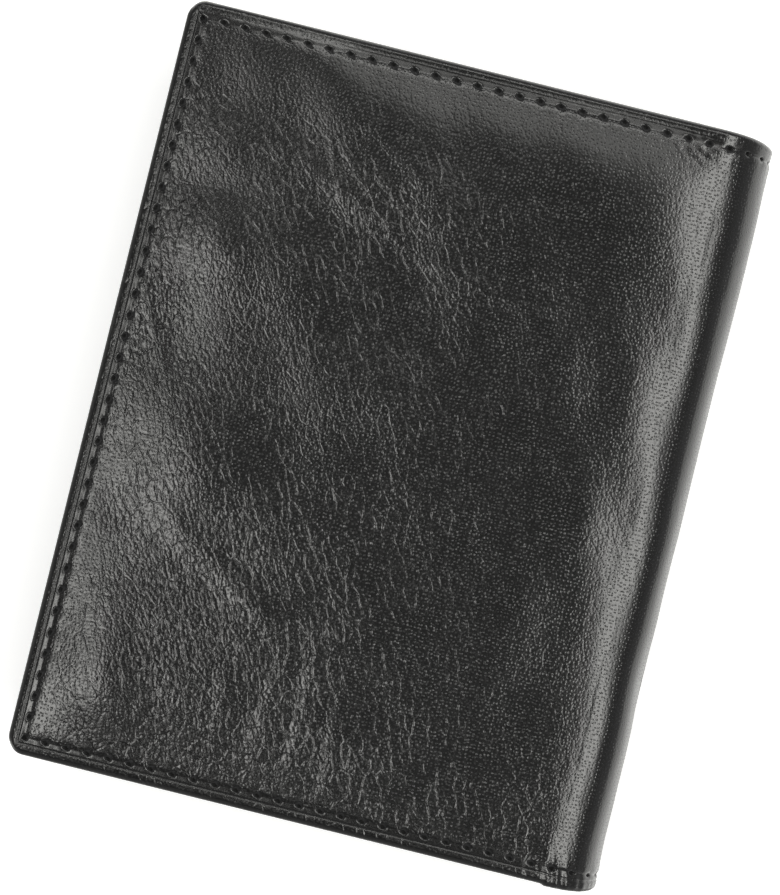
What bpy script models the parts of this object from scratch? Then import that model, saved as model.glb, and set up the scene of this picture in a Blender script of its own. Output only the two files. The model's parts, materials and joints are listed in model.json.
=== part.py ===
"""A vertical bifold wallet of black leather, closed and lying on its front cover.

Metres, +Z up. The origin is on the surface that the wallet lies on, under the middle of the closed
wallet. +X points to the spine, +Y to the head of the covers. Every piece is its own closed solid.
Each rigid group hangs from an empty that lies on the line about which the group turns:

    front_half > spine_1 > spine_2 > spine_3 > spine_4 > back_half, and spine_2 > page

The spine's leather bends all along its arc. It is split at its fold lines into strips of equal
angle. Each fold line lies on the outer face of the leather, where the leather doesn't stretch, so
the strips only move apart on their inner side when the wallet opens, and then lie flat in a row.
"""

import math
from dataclasses import dataclass

import bmesh
import bpy
from mathutils import Vector

# The closed wallet
WALLET_WIDTH = 0.0975
WALLET_HEIGHT = 0.125
COVER_CORNER_RADIUS = 0.004

# The plies of each half, from the outer face inwards
COVER_LEATHER = 0.0010
HEM_LEATHER = 0.0010
HEM_WIDTH = 0.0080
TURNED_EDGE_RADIUS = 0.0006
BOARD_THICKNESS = 0.0006
LINING_FABRIC = 0.0003
LINING_INSET = 0.0010
NOTE_POCKET_GAP = 0.0006
PANEL_LEATHER = 0.0008
PANEL_INSET = 0.0010
PANEL_HEAD_DROP = 0.0065
PLY_CLEARANCE = 0.0002

# The card slots of each half
SLOT_COUNT = 4
SLOT_LEATHER = 0.0006
SLOT_INSET = 0.0008
SLOT_HEAD_DROP = 0.0120
SLOT_STEP = 0.0130

# The spine
SPINE_STRIP_COUNT = 4
FOLD_CLEARANCE = 0.0003
SPINE_INNER_CLEARANCE = 0.0004

# The turning page
PAGE_LEATHER = 0.0006
PAGE_CLEARANCE = 0.0003
PAGE_FREE_SETBACK = 0.0020
PAGE_HEAD_DROP = 0.0060
PAGE_TAIL_RISE = 0.0040
PAGE_CORNER_RADIUS = 0.0035
BINDING_WIDTH = 0.0026
FILM_THICKNESS = 0.0002
FILM_MARGIN = 0.0030
WINDOW_HEIGHT = 0.0520
WINDOW_SIDE_MARGIN = 0.0060
WINDOW_HEAD_MARGIN = 0.0100
WINDOW_CORNER_RADIUS = 0.0030
PAGE_SLOT_COUNT = 2
PAGE_SLOT_LEATHER = 0.0005
PAGE_SLOT_HEAD_DROP = 0.0450

# The seams
SEAM_INSET = 0.0026
SEAM_CORNER_RADIUS = 0.0016
SEAM_THREAD_DIAMETER = 0.0005
SEAM_THREAD_SINK = 0.0001
SEAM_CHANNEL_CLEARANCE = 0.0002
PAGE_SEAM_INSET = 0.0014
PAGE_THREAD_DIAMETER = 0.0003
PAGE_THREAD_SINK = 0.00002
PAGE_CHANNEL_CLEARANCE = 0.00006

# How far a cutter runs past the face that it opens
CUT_OVERRUN = 0.0010

# Points of welded meshes that lie closer than this are one point, and faces flatter are one face
WELD_DISTANCE = 0.000001
FLAT_ANGLE = math.radians(0.1)

# How round things are drawn
CORNER_STEPS = 6
STRIP_STEPS = 6
NOSE_STEPS = 10
EDGE_SEGMENTS = 3
TUBE_RESOLUTION = 2
SHARP_ANGLE = math.radians(30)

QUARTER_TURN = math.pi / 2

# Where the plies lie: depths below the outer face of a half
BED_DEPTH = max(HEM_LEATHER, PLY_CLEARANCE + BOARD_THICKNESS)
COVER_DEPTH = COVER_LEATHER + BED_DEPTH
LINING_DEPTH = COVER_DEPTH + PLY_CLEARANCE
PANEL_DEPTH = LINING_DEPTH + LINING_FABRIC + NOTE_POCKET_GAP
SLOT_DEPTH = PANEL_DEPTH + PANEL_LEATHER + PLY_CLEARANCE
SLOT_PITCH = SLOT_LEATHER + PLY_CLEARANCE
HALF_STACK = PANEL_DEPTH + PANEL_LEATHER + SLOT_COUNT * SLOT_PITCH

# The page's plies: heights above the page's lower face
FILM_RISE = PAGE_LEATHER + PLY_CLEARANCE
PAGE_BACK_RISE = FILM_RISE + FILM_THICKNESS + PLY_CLEARANCE
PAGE_SLOT_RISE = PAGE_BACK_RISE + PAGE_LEATHER + PLY_CLEARANCE
PAGE_SLOT_PITCH = PAGE_SLOT_LEATHER + PLY_CLEARANCE
PAGE_THICKNESS = PAGE_BACK_RISE + PAGE_LEATHER + PAGE_SLOT_COUNT * PAGE_SLOT_PITCH

# The closed thickness, and the half circle that the spine is bent to
CLOSED_THICKNESS = 2 * (HALF_STACK + PAGE_CLEARANCE) + PAGE_THICKNESS
SPINE_RADIUS = CLOSED_THICKNESS / 2
MIDDLE_Z = SPINE_RADIUS
FREE_X = -WALLET_WIDTH / 2
FOLD_X = WALLET_WIDTH / 2 - SPINE_RADIUS
HEAD_Y = WALLET_HEIGHT / 2
TAIL_Y = -WALLET_HEIGHT / 2
LINING_INNER_RADIUS = SPINE_RADIUS - LINING_DEPTH - LINING_FABRIC
HALF_END_X = FOLD_X - FOLD_CLEARANCE / 2

# The inner panels reach past the fold line, as far as the round of the spine's lining lets them
PANEL_REACH = math.sqrt(max(
    0,
    (LINING_INNER_RADIUS - SPINE_INNER_CLEARANCE) ** 2 - (SPINE_RADIUS - PANEL_DEPTH) ** 2,
))
PANEL_FREE_X = FREE_X + PANEL_INSET
PANEL_SPINE_X = FOLD_X + PANEL_REACH
PANEL_HEAD_Y = HEAD_Y - PANEL_HEAD_DROP
PANEL_TAIL_Y = TAIL_Y + PANEL_INSET

# The page turns about the round nose of its binding, close to the spine's lining
PAGE_LOWER_Z = MIDDLE_Z - PAGE_THICKNESS / 2
PAGE_NOSE_RADIUS = PAGE_THICKNESS / 2
PAGE_AXIS_X = FOLD_X + LINING_INNER_RADIUS - PAGE_CLEARANCE - PAGE_NOSE_RADIUS
PAGE_PLY_END_X = PAGE_AXIS_X - BINDING_WIDTH - PLY_CLEARANCE
PAGE_FREE_X = FREE_X + PAGE_FREE_SETBACK
PAGE_HEAD_Y = HEAD_Y - PAGE_HEAD_DROP
PAGE_TAIL_Y = TAIL_Y + PAGE_TAIL_RISE


@dataclass
class Carrier:
    """A rigid group of pieces: its empty, and the point on its axis where the empty stands."""

    empty: bpy.types.Object
    pivot: Vector


@dataclass
class Half:
    """One half of the wallet: its name, its outer face's height, and the way inwards along Z."""

    name: str
    face_z: float
    inward: int
    carrier: Carrier

    def level(self, depth):
        """The height of a plane at this depth below the half's outer face."""
        return self.face_z + self.inward * depth


def clear_scene():
    """Remove every object that the scene starts with."""
    for old in list(bpy.data.objects):
        bpy.data.objects.remove(old, do_unlink=True)


def new_collection(name):
    """A collection of its own, linked to the scene."""
    collection = bpy.data.collections.new(name)
    bpy.context.scene.collection.children.link(collection)
    return collection


def principled(name, colour, roughness, alpha=1.0):
    """A plain dielectric material with one Principled shader."""
    material = bpy.data.materials.new(name)
    material.use_nodes = True
    shader = material.node_tree.nodes["Principled BSDF"]
    shader.inputs["Base Color"].default_value = (*colour, 1.0)
    shader.inputs["Roughness"].default_value = roughness
    shader.inputs["Metallic"].default_value = 0.0
    shader.inputs["Alpha"].default_value = alpha
    return material


clear_scene()
PARTS = new_collection("leather_wallet")
CUTTERS = new_collection("cutters")

COVER_FINISH = principled("cover_leather", (0.020, 0.020, 0.020), 0.30)
PANEL_FINISH = principled("inner_leather", (0.024, 0.023, 0.022), 0.45)
LINING_FINISH = principled("lining_fabric", (0.016, 0.016, 0.017), 0.80)
BOARD_FINISH = principled("stiffener_board", (0.200, 0.160, 0.110), 0.90)
THREAD_FINISH = principled("seam_thread", (0.012, 0.012, 0.012), 0.60)
FILM_FINISH = principled("window_film", (0.800, 0.820, 0.820), 0.12, 0.35)


def new_carrier(name, x, z, parent=None):
    """An empty at a fold line, which runs along Y through this x and z."""
    pivot = Vector((x, 0, z))
    empty = bpy.data.objects.new(name, None)
    PARTS.objects.link(empty)
    if parent is None:
        empty.location = pivot
    else:
        empty.parent = parent.empty
        empty.location = pivot - parent.pivot
    return Carrier(empty, pivot)


def attach(piece, carrier, position, finish):
    """Hang a piece, whose place is given in the wallet's own frame, on its carrier."""
    piece.parent = carrier.empty
    piece.location = Vector(position) - carrier.pivot
    piece.data.materials.clear()
    piece.data.materials.append(finish)
    return piece


def arc(centre_x, centre_y, radius, start, end, steps):
    """Points along a circular arc, both ends included."""
    return [
        (
            centre_x + radius * math.cos(start + (end - start) * step / steps),
            centre_y + radius * math.sin(start + (end - start) * step / steps),
        )
        for step in range(steps + 1)
    ]


def ply_outline(free_x, spine_x, tail_y, head_y, radius):
    """A ply seen from above: rounded at the free edge's two corners, square at the spine."""
    return (
        [(spine_x, tail_y), (spine_x, head_y)]
        + arc(free_x + radius, head_y - radius, radius, QUARTER_TURN, math.pi, CORNER_STEPS)
        + arc(free_x + radius, tail_y + radius, radius, math.pi, 3 * QUARTER_TURN, CORNER_STEPS)
    )


def window_outline(low_x, high_x, low_y, high_y, radius):
    """A rectangle with four round corners."""
    return (
        arc(high_x - radius, high_y - radius, radius, 0, QUARTER_TURN, CORNER_STEPS)
        + arc(low_x + radius, high_y - radius, radius, QUARTER_TURN, math.pi, CORNER_STEPS)
        + arc(low_x + radius, low_y + radius, radius, math.pi, 3 * QUARTER_TURN, CORNER_STEPS)
        + arc(high_x - radius, low_y + radius, radius, 3 * QUARTER_TURN, 4 * QUARTER_TURN, CORNER_STEPS)
    )


def seam_path(inset, free_x, spine_x, tail_y, head_y):
    """The seam's line: in along the head, down the free edge and out along the tail."""
    radius = SEAM_CORNER_RADIUS
    left, top, bottom = free_x + inset, head_y - inset, tail_y + inset
    return (
        [(spine_x, top)]
        + arc(left + radius, top - radius, radius, QUARTER_TURN, math.pi, CORNER_STEPS)
        + arc(left + radius, bottom + radius, radius, math.pi, 3 * QUARTER_TURN, CORNER_STEPS)
        + [(spine_x, bottom)]
    )


def flat_curve(name, outlines, thickness, collection):
    """A flat piece: closed outlines, filled on both faces and extruded by half its thickness."""
    curve = bpy.data.curves.new(name, "CURVE")
    curve.dimensions = "2D"
    curve.fill_mode = "BOTH"
    curve.extrude = thickness / 2
    curve.render_resolution_u = 0
    for outline in outlines:
        spline = curve.splines.new("POLY")
        spline.points.add(len(outline) - 1)
        for point, (x, y) in zip(spline.points, outline):
            point.co = (x, y, 0, 1)
        spline.use_cyclic_u = True
    piece = bpy.data.objects.new(name, curve)
    collection.objects.link(piece)
    return piece


def tube_curve(name, path, diameter, collection):
    """A thread: a round tube with closed ends along a path in its own plane."""
    curve = bpy.data.curves.new(name, "CURVE")
    curve.dimensions = "3D"
    curve.bevel_depth = diameter / 2
    curve.bevel_resolution = TUBE_RESOLUTION
    curve.use_fill_caps = True
    curve.render_resolution_u = 0
    spline = curve.splines.new("POLY")
    spline.points.add(len(path) - 1)
    for point, (x, y) in zip(spline.points, path):
        point.co = (x, y, 0, 1)
    piece = bpy.data.objects.new(name, curve)
    collection.objects.link(piece)
    return piece


def as_mesh(curve_piece):
    """Turn a curve piece into a mesh piece of the same name, with its caps welded on and whole."""
    bpy.context.view_layer.update()
    evaluated = curve_piece.evaluated_get(bpy.context.evaluated_depsgraph_get())
    mesh = bpy.data.meshes.new_from_object(evaluated)
    work = bmesh.new()
    work.from_mesh(mesh)
    bmesh.ops.remove_doubles(work, verts=work.verts, dist=WELD_DISTANCE)
    bmesh.ops.dissolve_limit(
        work, angle_limit=FLAT_ANGLE, verts=work.verts, edges=work.edges
    )
    work.to_mesh(mesh)
    work.free()
    name = curve_piece.name
    home = curve_piece.users_collection[0]
    matrix = curve_piece.matrix_world.copy()
    bpy.data.objects.remove(curve_piece, do_unlink=True)
    piece = bpy.data.objects.new(name, mesh)
    home.objects.link(piece)
    piece.matrix_world = matrix
    return piece


def shade_round(piece):
    """Shade a mesh smooth, and keep its real edges sharp."""
    piece.data.shade_smooth()
    piece.data.set_sharp_from_angle(angle=SHARP_ANGLE)


def cut(piece, cutter, position):
    """Cut a piece with a cutter, whose place is given in the wallet's own frame."""
    cutter.location = position
    cutter.hide_render = True
    cutter.display_type = "WIRE"
    boolean = piece.modifiers.new(cutter.name, "BOOLEAN")
    boolean.operation = "DIFFERENCE"
    boolean.solver = "EXACT"
    boolean.object = cutter


def round_free_edges(piece, radius, square_x):
    """Round a ply's edges on both faces, apart from those along its square end at this x."""
    work = bmesh.new()
    work.from_mesh(piece.data)
    weights = work.edges.layers.float.new("bevel_weight_edge")
    for edge in work.edges:
        first, second = edge.verts
        lies_in_face = abs(first.co.z - second.co.z) < WELD_DISTANCE
        at_square_end = min(first.co.x, second.co.x) > square_x - WELD_DISTANCE
        is_outline = edge.calc_face_angle(0) > SHARP_ANGLE
        if lies_in_face and is_outline and not at_square_end:
            edge[weights] = 1
    work.to_mesh(piece.data)
    work.free()
    bevel = piece.modifiers.new("turned_edge", "BEVEL")
    bevel.limit_method = "WEIGHT"
    bevel.width = radius
    bevel.segments = EDGE_SEGMENTS


def make_cover(half):
    """The leather of a half: a flat ply with its hem turned in on the three free sides.

    The hem is cut out of a ply of the full thickness: a bed for the stiffener board, open towards
    the spine. A round channel for the seam's thread is cut into the outer face.
    """
    outline = ply_outline(FREE_X, HALF_END_X, TAIL_Y, HEAD_Y, COVER_CORNER_RADIUS)
    cover = as_mesh(flat_curve(f"{half.name}_cover", [outline], COVER_DEPTH, PARTS))
    round_free_edges(cover, min(TURNED_EDGE_RADIUS, COVER_DEPTH / 2), HALF_END_X)
    attach(cover, half.carrier, (0, 0, half.level(COVER_DEPTH / 2)), COVER_FINISH)
    shade_round(cover)

    bed = ply_outline(
        FREE_X + HEM_WIDTH,
        FOLD_X + CUT_OVERRUN,
        TAIL_Y + HEM_WIDTH,
        HEAD_Y - HEM_WIDTH,
        COVER_CORNER_RADIUS,
    )
    bed_height = BED_DEPTH + CUT_OVERRUN
    bed_cutter = as_mesh(flat_curve(f"{half.name}_bed_cutter", [bed], bed_height, CUTTERS))
    cut(cover, bed_cutter, (0, 0, half.level(COVER_LEATHER + bed_height / 2)))

    channel = seam_path(SEAM_INSET, FREE_X, FOLD_X + CUT_OVERRUN, TAIL_Y, HEAD_Y)
    channel_diameter = SEAM_THREAD_DIAMETER + 2 * SEAM_CHANNEL_CLEARANCE
    channel_cutter = as_mesh(
        tube_curve(f"{half.name}_channel_cutter", channel, channel_diameter, CUTTERS)
    )
    cut(cover, channel_cutter, (0, 0, half.level(SEAM_THREAD_SINK + SEAM_THREAD_DIAMETER / 2)))


def make_seam_thread(half):
    """The visible thread of a half's seam, which lies in the cover's channel, below its face."""
    path = seam_path(SEAM_INSET, FREE_X, HALF_END_X, TAIL_Y, HEAD_Y)
    thread = tube_curve(f"{half.name}_seam_thread", path, SEAM_THREAD_DIAMETER, PARTS)
    depth = SEAM_THREAD_SINK + SEAM_THREAD_DIAMETER / 2
    attach(thread, half.carrier, (0, 0, half.level(depth)), THREAD_FINISH)


def make_ply(half, name, outline, depth, thickness, finish):
    """A flat ply of a half, at this depth below the half's outer face."""
    ply = flat_curve(f"{half.name}_{name}", [outline], thickness, PARTS)
    attach(ply, half.carrier, (0, 0, half.level(depth + thickness / 2)), finish)


def make_half_plies(half):
    """The board, the note pocket's lining and the inner panel of a half."""
    board_inset = HEM_WIDTH + PLY_CLEARANCE
    board = ply_outline(
        FREE_X + board_inset,
        HALF_END_X,
        TAIL_Y + board_inset,
        HEAD_Y - board_inset,
        COVER_CORNER_RADIUS,
    )
    board_depth = COVER_LEATHER + PLY_CLEARANCE
    make_ply(half, "stiffener", board, board_depth, BOARD_THICKNESS, BOARD_FINISH)

    lining = ply_outline(
        FREE_X + LINING_INSET,
        HALF_END_X,
        TAIL_Y + LINING_INSET,
        HEAD_Y - LINING_INSET,
        COVER_CORNER_RADIUS,
    )
    make_ply(half, "note_lining", lining, LINING_DEPTH, LINING_FABRIC, LINING_FINISH)

    panel = ply_outline(
        PANEL_FREE_X, PANEL_SPINE_X, PANEL_TAIL_Y, PANEL_HEAD_Y, COVER_CORNER_RADIUS
    )
    make_ply(half, "inner_panel", panel, PANEL_DEPTH, PANEL_LEATHER, PANEL_FINISH)


def make_card_slots(half):
    """The staggered card slots of a half, each a step lower at the head and a ply nearer the middle."""
    for number in range(1, SLOT_COUNT + 1):
        head_y = PANEL_HEAD_Y - SLOT_HEAD_DROP - (number - 1) * SLOT_STEP
        outline = ply_outline(
            PANEL_FREE_X + SLOT_INSET,
            PANEL_SPINE_X - SLOT_INSET,
            PANEL_TAIL_Y + SLOT_INSET,
            head_y,
            COVER_CORNER_RADIUS,
        )
        depth = SLOT_DEPTH + (number - 1) * SLOT_PITCH
        make_ply(half, f"card_slot_{number}", outline, depth, SLOT_LEATHER, PANEL_FINISH)


def spun_strip(name, profile, start, end, carrier, finish):
    """A strip of the spine: a profile of (radius, y) turned about the spine's centre line."""
    work = bmesh.new()
    corners = [
        work.verts.new((FOLD_X + radius * math.cos(start), y, MIDDLE_Z + radius * math.sin(start)))
        for radius, y in profile
    ]
    face = work.faces.new(corners)
    bmesh.ops.spin(
        work,
        geom=[face, *face.edges, *face.verts],
        cent=(FOLD_X, 0, MIDDLE_Z),
        axis=(0, -1, 0),
        angle=end - start,
        steps=STRIP_STEPS,
        use_duplicate=False,
    )
    bmesh.ops.recalc_face_normals(work, faces=work.faces)
    bmesh.ops.translate(work, verts=work.verts, vec=-carrier.pivot)
    mesh = bpy.data.meshes.new(name)
    work.to_mesh(mesh)
    work.free()
    strip = bpy.data.objects.new(name, mesh)
    PARTS.objects.link(strip)
    attach(strip, carrier, carrier.pivot, finish)
    shade_round(strip)


def make_spine_strip(number, start, end, carrier):
    """One strip of the spine's leather, hemmed at head and tail, and of the lining inside it."""
    gap_angle = FOLD_CLEARANCE / (2 * SPINE_RADIUS)
    low, high = start + gap_angle, end - gap_angle
    inner = SPINE_RADIUS - COVER_LEATHER
    hem = SPINE_RADIUS - COVER_DEPTH
    turn = min(TURNED_EDGE_RADIUS, COVER_DEPTH / 2)
    head_turn = arc(HEAD_Y - turn, SPINE_RADIUS - turn, turn, QUARTER_TURN, 0, EDGE_SEGMENTS)
    head_edge = [(radius, y) for y, radius in head_turn]
    tail_edge = [(radius, -y) for radius, y in reversed(head_edge)]
    leather = (
        tail_edge
        + head_edge
        + [(hem, HEAD_Y), (hem, HEAD_Y - HEM_WIDTH), (inner, HEAD_Y - HEM_WIDTH)]
        + [(inner, TAIL_Y + HEM_WIDTH), (hem, TAIL_Y + HEM_WIDTH), (hem, TAIL_Y)]
    )
    spun_strip(f"spine_leather_{number}", leather, low, high, carrier, COVER_FINISH)

    lining_outer = LINING_INNER_RADIUS + LINING_FABRIC
    lining = [
        (lining_outer, TAIL_Y + LINING_INSET),
        (lining_outer, HEAD_Y - LINING_INSET),
        (LINING_INNER_RADIUS, HEAD_Y - LINING_INSET),
        (LINING_INNER_RADIUS, TAIL_Y + LINING_INSET),
    ]
    spun_strip(f"spine_lining_{number}", lining, low, high, carrier, LINING_FINISH)


def page_ply(name, outlines, rise, thickness, page):
    """A flat ply of the page, at this height above the page's lower face."""
    ply = flat_curve(name, outlines, thickness, PARTS)
    return attach(ply, page, (0, 0, PAGE_LOWER_Z + rise + thickness / 2), PANEL_FINISH)


def make_page_binding(page):
    """The bar that binds the page's plies at the spine, with a round nose about the page's axis."""
    axis_in_page = 0
    nose = arc(axis_in_page, 0, PAGE_NOSE_RADIUS, -QUARTER_TURN, QUARTER_TURN, NOSE_STEPS)
    outline = nose + [(-BINDING_WIDTH, PAGE_NOSE_RADIUS), (-BINDING_WIDTH, -PAGE_NOSE_RADIUS)]
    binding = flat_curve("page_binding", [outline], PAGE_HEAD_Y - PAGE_TAIL_Y, PARTS)
    binding.rotation_euler = (QUARTER_TURN, 0, 0)
    middle_y = (PAGE_HEAD_Y + PAGE_TAIL_Y) / 2
    attach(binding, page, (PAGE_AXIS_X, middle_y, MIDDLE_Z), PANEL_FINISH)


def make_page_front(page):
    """The page's window frame, its clear film and the thread of the page's seam."""
    window = (
        PAGE_FREE_X + WINDOW_SIDE_MARGIN,
        PAGE_PLY_END_X - WINDOW_SIDE_MARGIN,
        PAGE_HEAD_Y - WINDOW_HEAD_MARGIN - WINDOW_HEIGHT,
        PAGE_HEAD_Y - WINDOW_HEAD_MARGIN,
    )
    outline = ply_outline(
        PAGE_FREE_X, PAGE_PLY_END_X, PAGE_TAIL_Y, PAGE_HEAD_Y, PAGE_CORNER_RADIUS
    )
    opening = window_outline(*window, WINDOW_CORNER_RADIUS)
    frame = as_mesh(flat_curve("page_window_frame", [outline, opening], PAGE_LEATHER, PARTS))
    attach(frame, page, (0, 0, PAGE_LOWER_Z + PAGE_LEATHER / 2), PANEL_FINISH)

    thread_height = PAGE_LOWER_Z + PAGE_THREAD_SINK + PAGE_THREAD_DIAMETER / 2
    channel = seam_path(
        PAGE_SEAM_INSET, PAGE_FREE_X, PAGE_PLY_END_X + CUT_OVERRUN, PAGE_TAIL_Y, PAGE_HEAD_Y
    )
    channel_diameter = PAGE_THREAD_DIAMETER + 2 * PAGE_CHANNEL_CLEARANCE
    channel_cutter = as_mesh(tube_curve("page_channel_cutter", channel, channel_diameter, CUTTERS))
    cut(frame, channel_cutter, (0, 0, thread_height))

    path = seam_path(PAGE_SEAM_INSET, PAGE_FREE_X, PAGE_PLY_END_X, PAGE_TAIL_Y, PAGE_HEAD_Y)
    thread = tube_curve("page_seam_thread", path, PAGE_THREAD_DIAMETER, PARTS)
    attach(thread, page, (0, 0, thread_height), THREAD_FINISH)

    film_outline = window_outline(
        window[0] - FILM_MARGIN,
        window[1] + FILM_MARGIN,
        window[2] - FILM_MARGIN,
        window[3] + FILM_MARGIN,
        WINDOW_CORNER_RADIUS,
    )
    film = page_ply("page_window_film", [film_outline], FILM_RISE, FILM_THICKNESS, page)
    film.data.materials[0] = FILM_FINISH


def make_page_back(page):
    """The page's leather back and the card slots on it."""
    outline = ply_outline(
        PAGE_FREE_X, PAGE_PLY_END_X, PAGE_TAIL_Y, PAGE_HEAD_Y, PAGE_CORNER_RADIUS
    )
    page_ply("page_back_leather", [outline], PAGE_BACK_RISE, PAGE_LEATHER, page)
    for number in range(1, PAGE_SLOT_COUNT + 1):
        slot = ply_outline(
            PAGE_FREE_X,
            PAGE_PLY_END_X,
            PAGE_TAIL_Y,
            PAGE_HEAD_Y - PAGE_SLOT_HEAD_DROP - (number - 1) * SLOT_STEP,
            PAGE_CORNER_RADIUS,
        )
        rise = PAGE_SLOT_RISE + (number - 1) * PAGE_SLOT_PITCH
        page_ply(f"page_card_slot_{number}", [slot], rise, PAGE_SLOT_LEATHER, page)


def make_half(name, face_z, inward, carrier):
    """All the pieces of one half."""
    half = Half(name, face_z, inward, carrier)
    make_cover(half)
    make_seam_thread(half)
    make_half_plies(half)
    make_card_slots(half)


def make_wallet():
    """The wallet, from its front half round the spine to its back half, and the page."""
    front = new_carrier("front_half", 0, 0)
    make_half("front", 0, 1, front)

    strip_angle = math.pi / SPINE_STRIP_COUNT
    carrier = front
    strips = []
    for number in range(1, SPINE_STRIP_COUNT + 1):
        start = (number - 1) * strip_angle - QUARTER_TURN
        fold_x = FOLD_X + SPINE_RADIUS * math.cos(start)
        fold_z = MIDDLE_Z + SPINE_RADIUS * math.sin(start)
        carrier = new_carrier(f"spine_{number}", fold_x, fold_z, carrier)
        make_spine_strip(number, start, start + strip_angle, carrier)
        strips.append(carrier)

    back = new_carrier("back_half", FOLD_X, CLOSED_THICKNESS, carrier)
    make_half("back", CLOSED_THICKNESS, -1, back)

    page = new_carrier("page", PAGE_AXIS_X, MIDDLE_Z, strips[SPINE_STRIP_COUNT // 2 - 1])
    make_page_binding(page)
    make_page_front(page)
    make_page_back(page)


make_wallet()
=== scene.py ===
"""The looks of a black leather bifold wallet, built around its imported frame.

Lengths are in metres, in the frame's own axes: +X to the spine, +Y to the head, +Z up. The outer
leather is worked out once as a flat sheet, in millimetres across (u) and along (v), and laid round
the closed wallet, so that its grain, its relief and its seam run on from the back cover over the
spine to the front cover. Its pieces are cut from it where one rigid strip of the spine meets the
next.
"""

from __future__ import annotations

import json
import logging
import math
from collections.abc import Callable
from dataclasses import dataclass, field
from enum import Enum
from functools import partial

import bpy
import numpy as np
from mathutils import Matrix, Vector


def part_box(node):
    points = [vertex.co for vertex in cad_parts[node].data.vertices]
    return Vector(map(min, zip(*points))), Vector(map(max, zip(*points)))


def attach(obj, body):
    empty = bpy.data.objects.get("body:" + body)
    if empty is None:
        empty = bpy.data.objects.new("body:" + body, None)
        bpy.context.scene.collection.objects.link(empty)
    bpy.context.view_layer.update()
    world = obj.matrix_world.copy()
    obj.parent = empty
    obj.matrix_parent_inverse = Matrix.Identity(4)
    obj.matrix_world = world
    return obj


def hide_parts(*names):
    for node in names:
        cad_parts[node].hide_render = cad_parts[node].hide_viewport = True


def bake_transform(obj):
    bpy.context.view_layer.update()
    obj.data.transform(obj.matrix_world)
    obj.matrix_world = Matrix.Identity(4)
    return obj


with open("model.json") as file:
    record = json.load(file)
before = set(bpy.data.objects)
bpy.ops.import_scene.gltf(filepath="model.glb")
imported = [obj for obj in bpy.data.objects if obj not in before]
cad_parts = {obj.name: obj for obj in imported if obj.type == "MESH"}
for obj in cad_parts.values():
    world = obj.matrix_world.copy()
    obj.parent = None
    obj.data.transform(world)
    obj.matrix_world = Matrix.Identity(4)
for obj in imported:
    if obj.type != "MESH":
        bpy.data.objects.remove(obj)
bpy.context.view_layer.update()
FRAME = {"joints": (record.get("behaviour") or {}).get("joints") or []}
LOG = logging.getLogger("wallet")

MM = 0.001
TAU = 2 * math.pi
WHITE = (1.0, 1.0, 1.0, 1.0)
UV_NAME = "sheet_mm"
SMOOTH_NAME = "pressed"
DRAWN_NAME = "drawn"
# Per point: how dull the leather is, and how much painted shade darkens its colour, in the stitch holes
# and on the turned edge.
DULL_SHADE_NAME = "dull_and_shade"
INNER_DRAWN = 0.3

Array = np.ndarray
Point = tuple[float, float]
Piece = bpy.types.Object
Material = bpy.types.Material
Socket = bpy.types.NodeSocket


class Cover(Enum):
    """The two covers, by the name of the half that each belongs to."""

    BACK = "back"
    FRONT = "front"

    @property
    def body(self) -> str:
        """The body that the cover's half moves with."""
        return f"{self.value}_half"


def joint_position(name: str) -> tuple[float, float]:
    """Where a fold line lies.

    Args:
        name: the joint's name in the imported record.

    Returns:
        The x and z of the line, which runs along Y.
    """
    joint = next(item for item in FRAME["joints"] if item["name"] == name)
    return joint["pos_m"][0], joint["pos_m"][2]


def box_mm(node: str) -> tuple[Array, Array]:
    """The low and the high corner of one of the frame's nodes, in millimetres."""
    low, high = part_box(node)
    return np.array(low) / MM, np.array(high) / MM


def smoothstep(low: Array | float, high: Array | float, value: Array) -> Array:
    """A smooth rise from 0 at low to 1 at high: 3 t squared less 2 t cubed."""
    share = np.clip((value - low) / (high - low), 0.0, 1.0)
    return share * share * (3.0 - 2.0 * share)


def bell(value: Array, width: float) -> Array:
    """A Gaussian bell of height 1: e to the minus square of value over width."""
    return np.exp(-((value / width) ** 2))


def settled(distance: Array, power: float = 1.0) -> Array:
    """A rise from 0 at no distance towards 1: 1 less e to the minus power of the distance."""
    return 1 - np.exp(-(distance**power))


def circle(angle: Array) -> Array:
    """The points of a circle of radius 1 at some angles, as cosine and sine."""
    return np.stack([np.cos(angle), np.sin(angle)], axis=-1)


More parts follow.
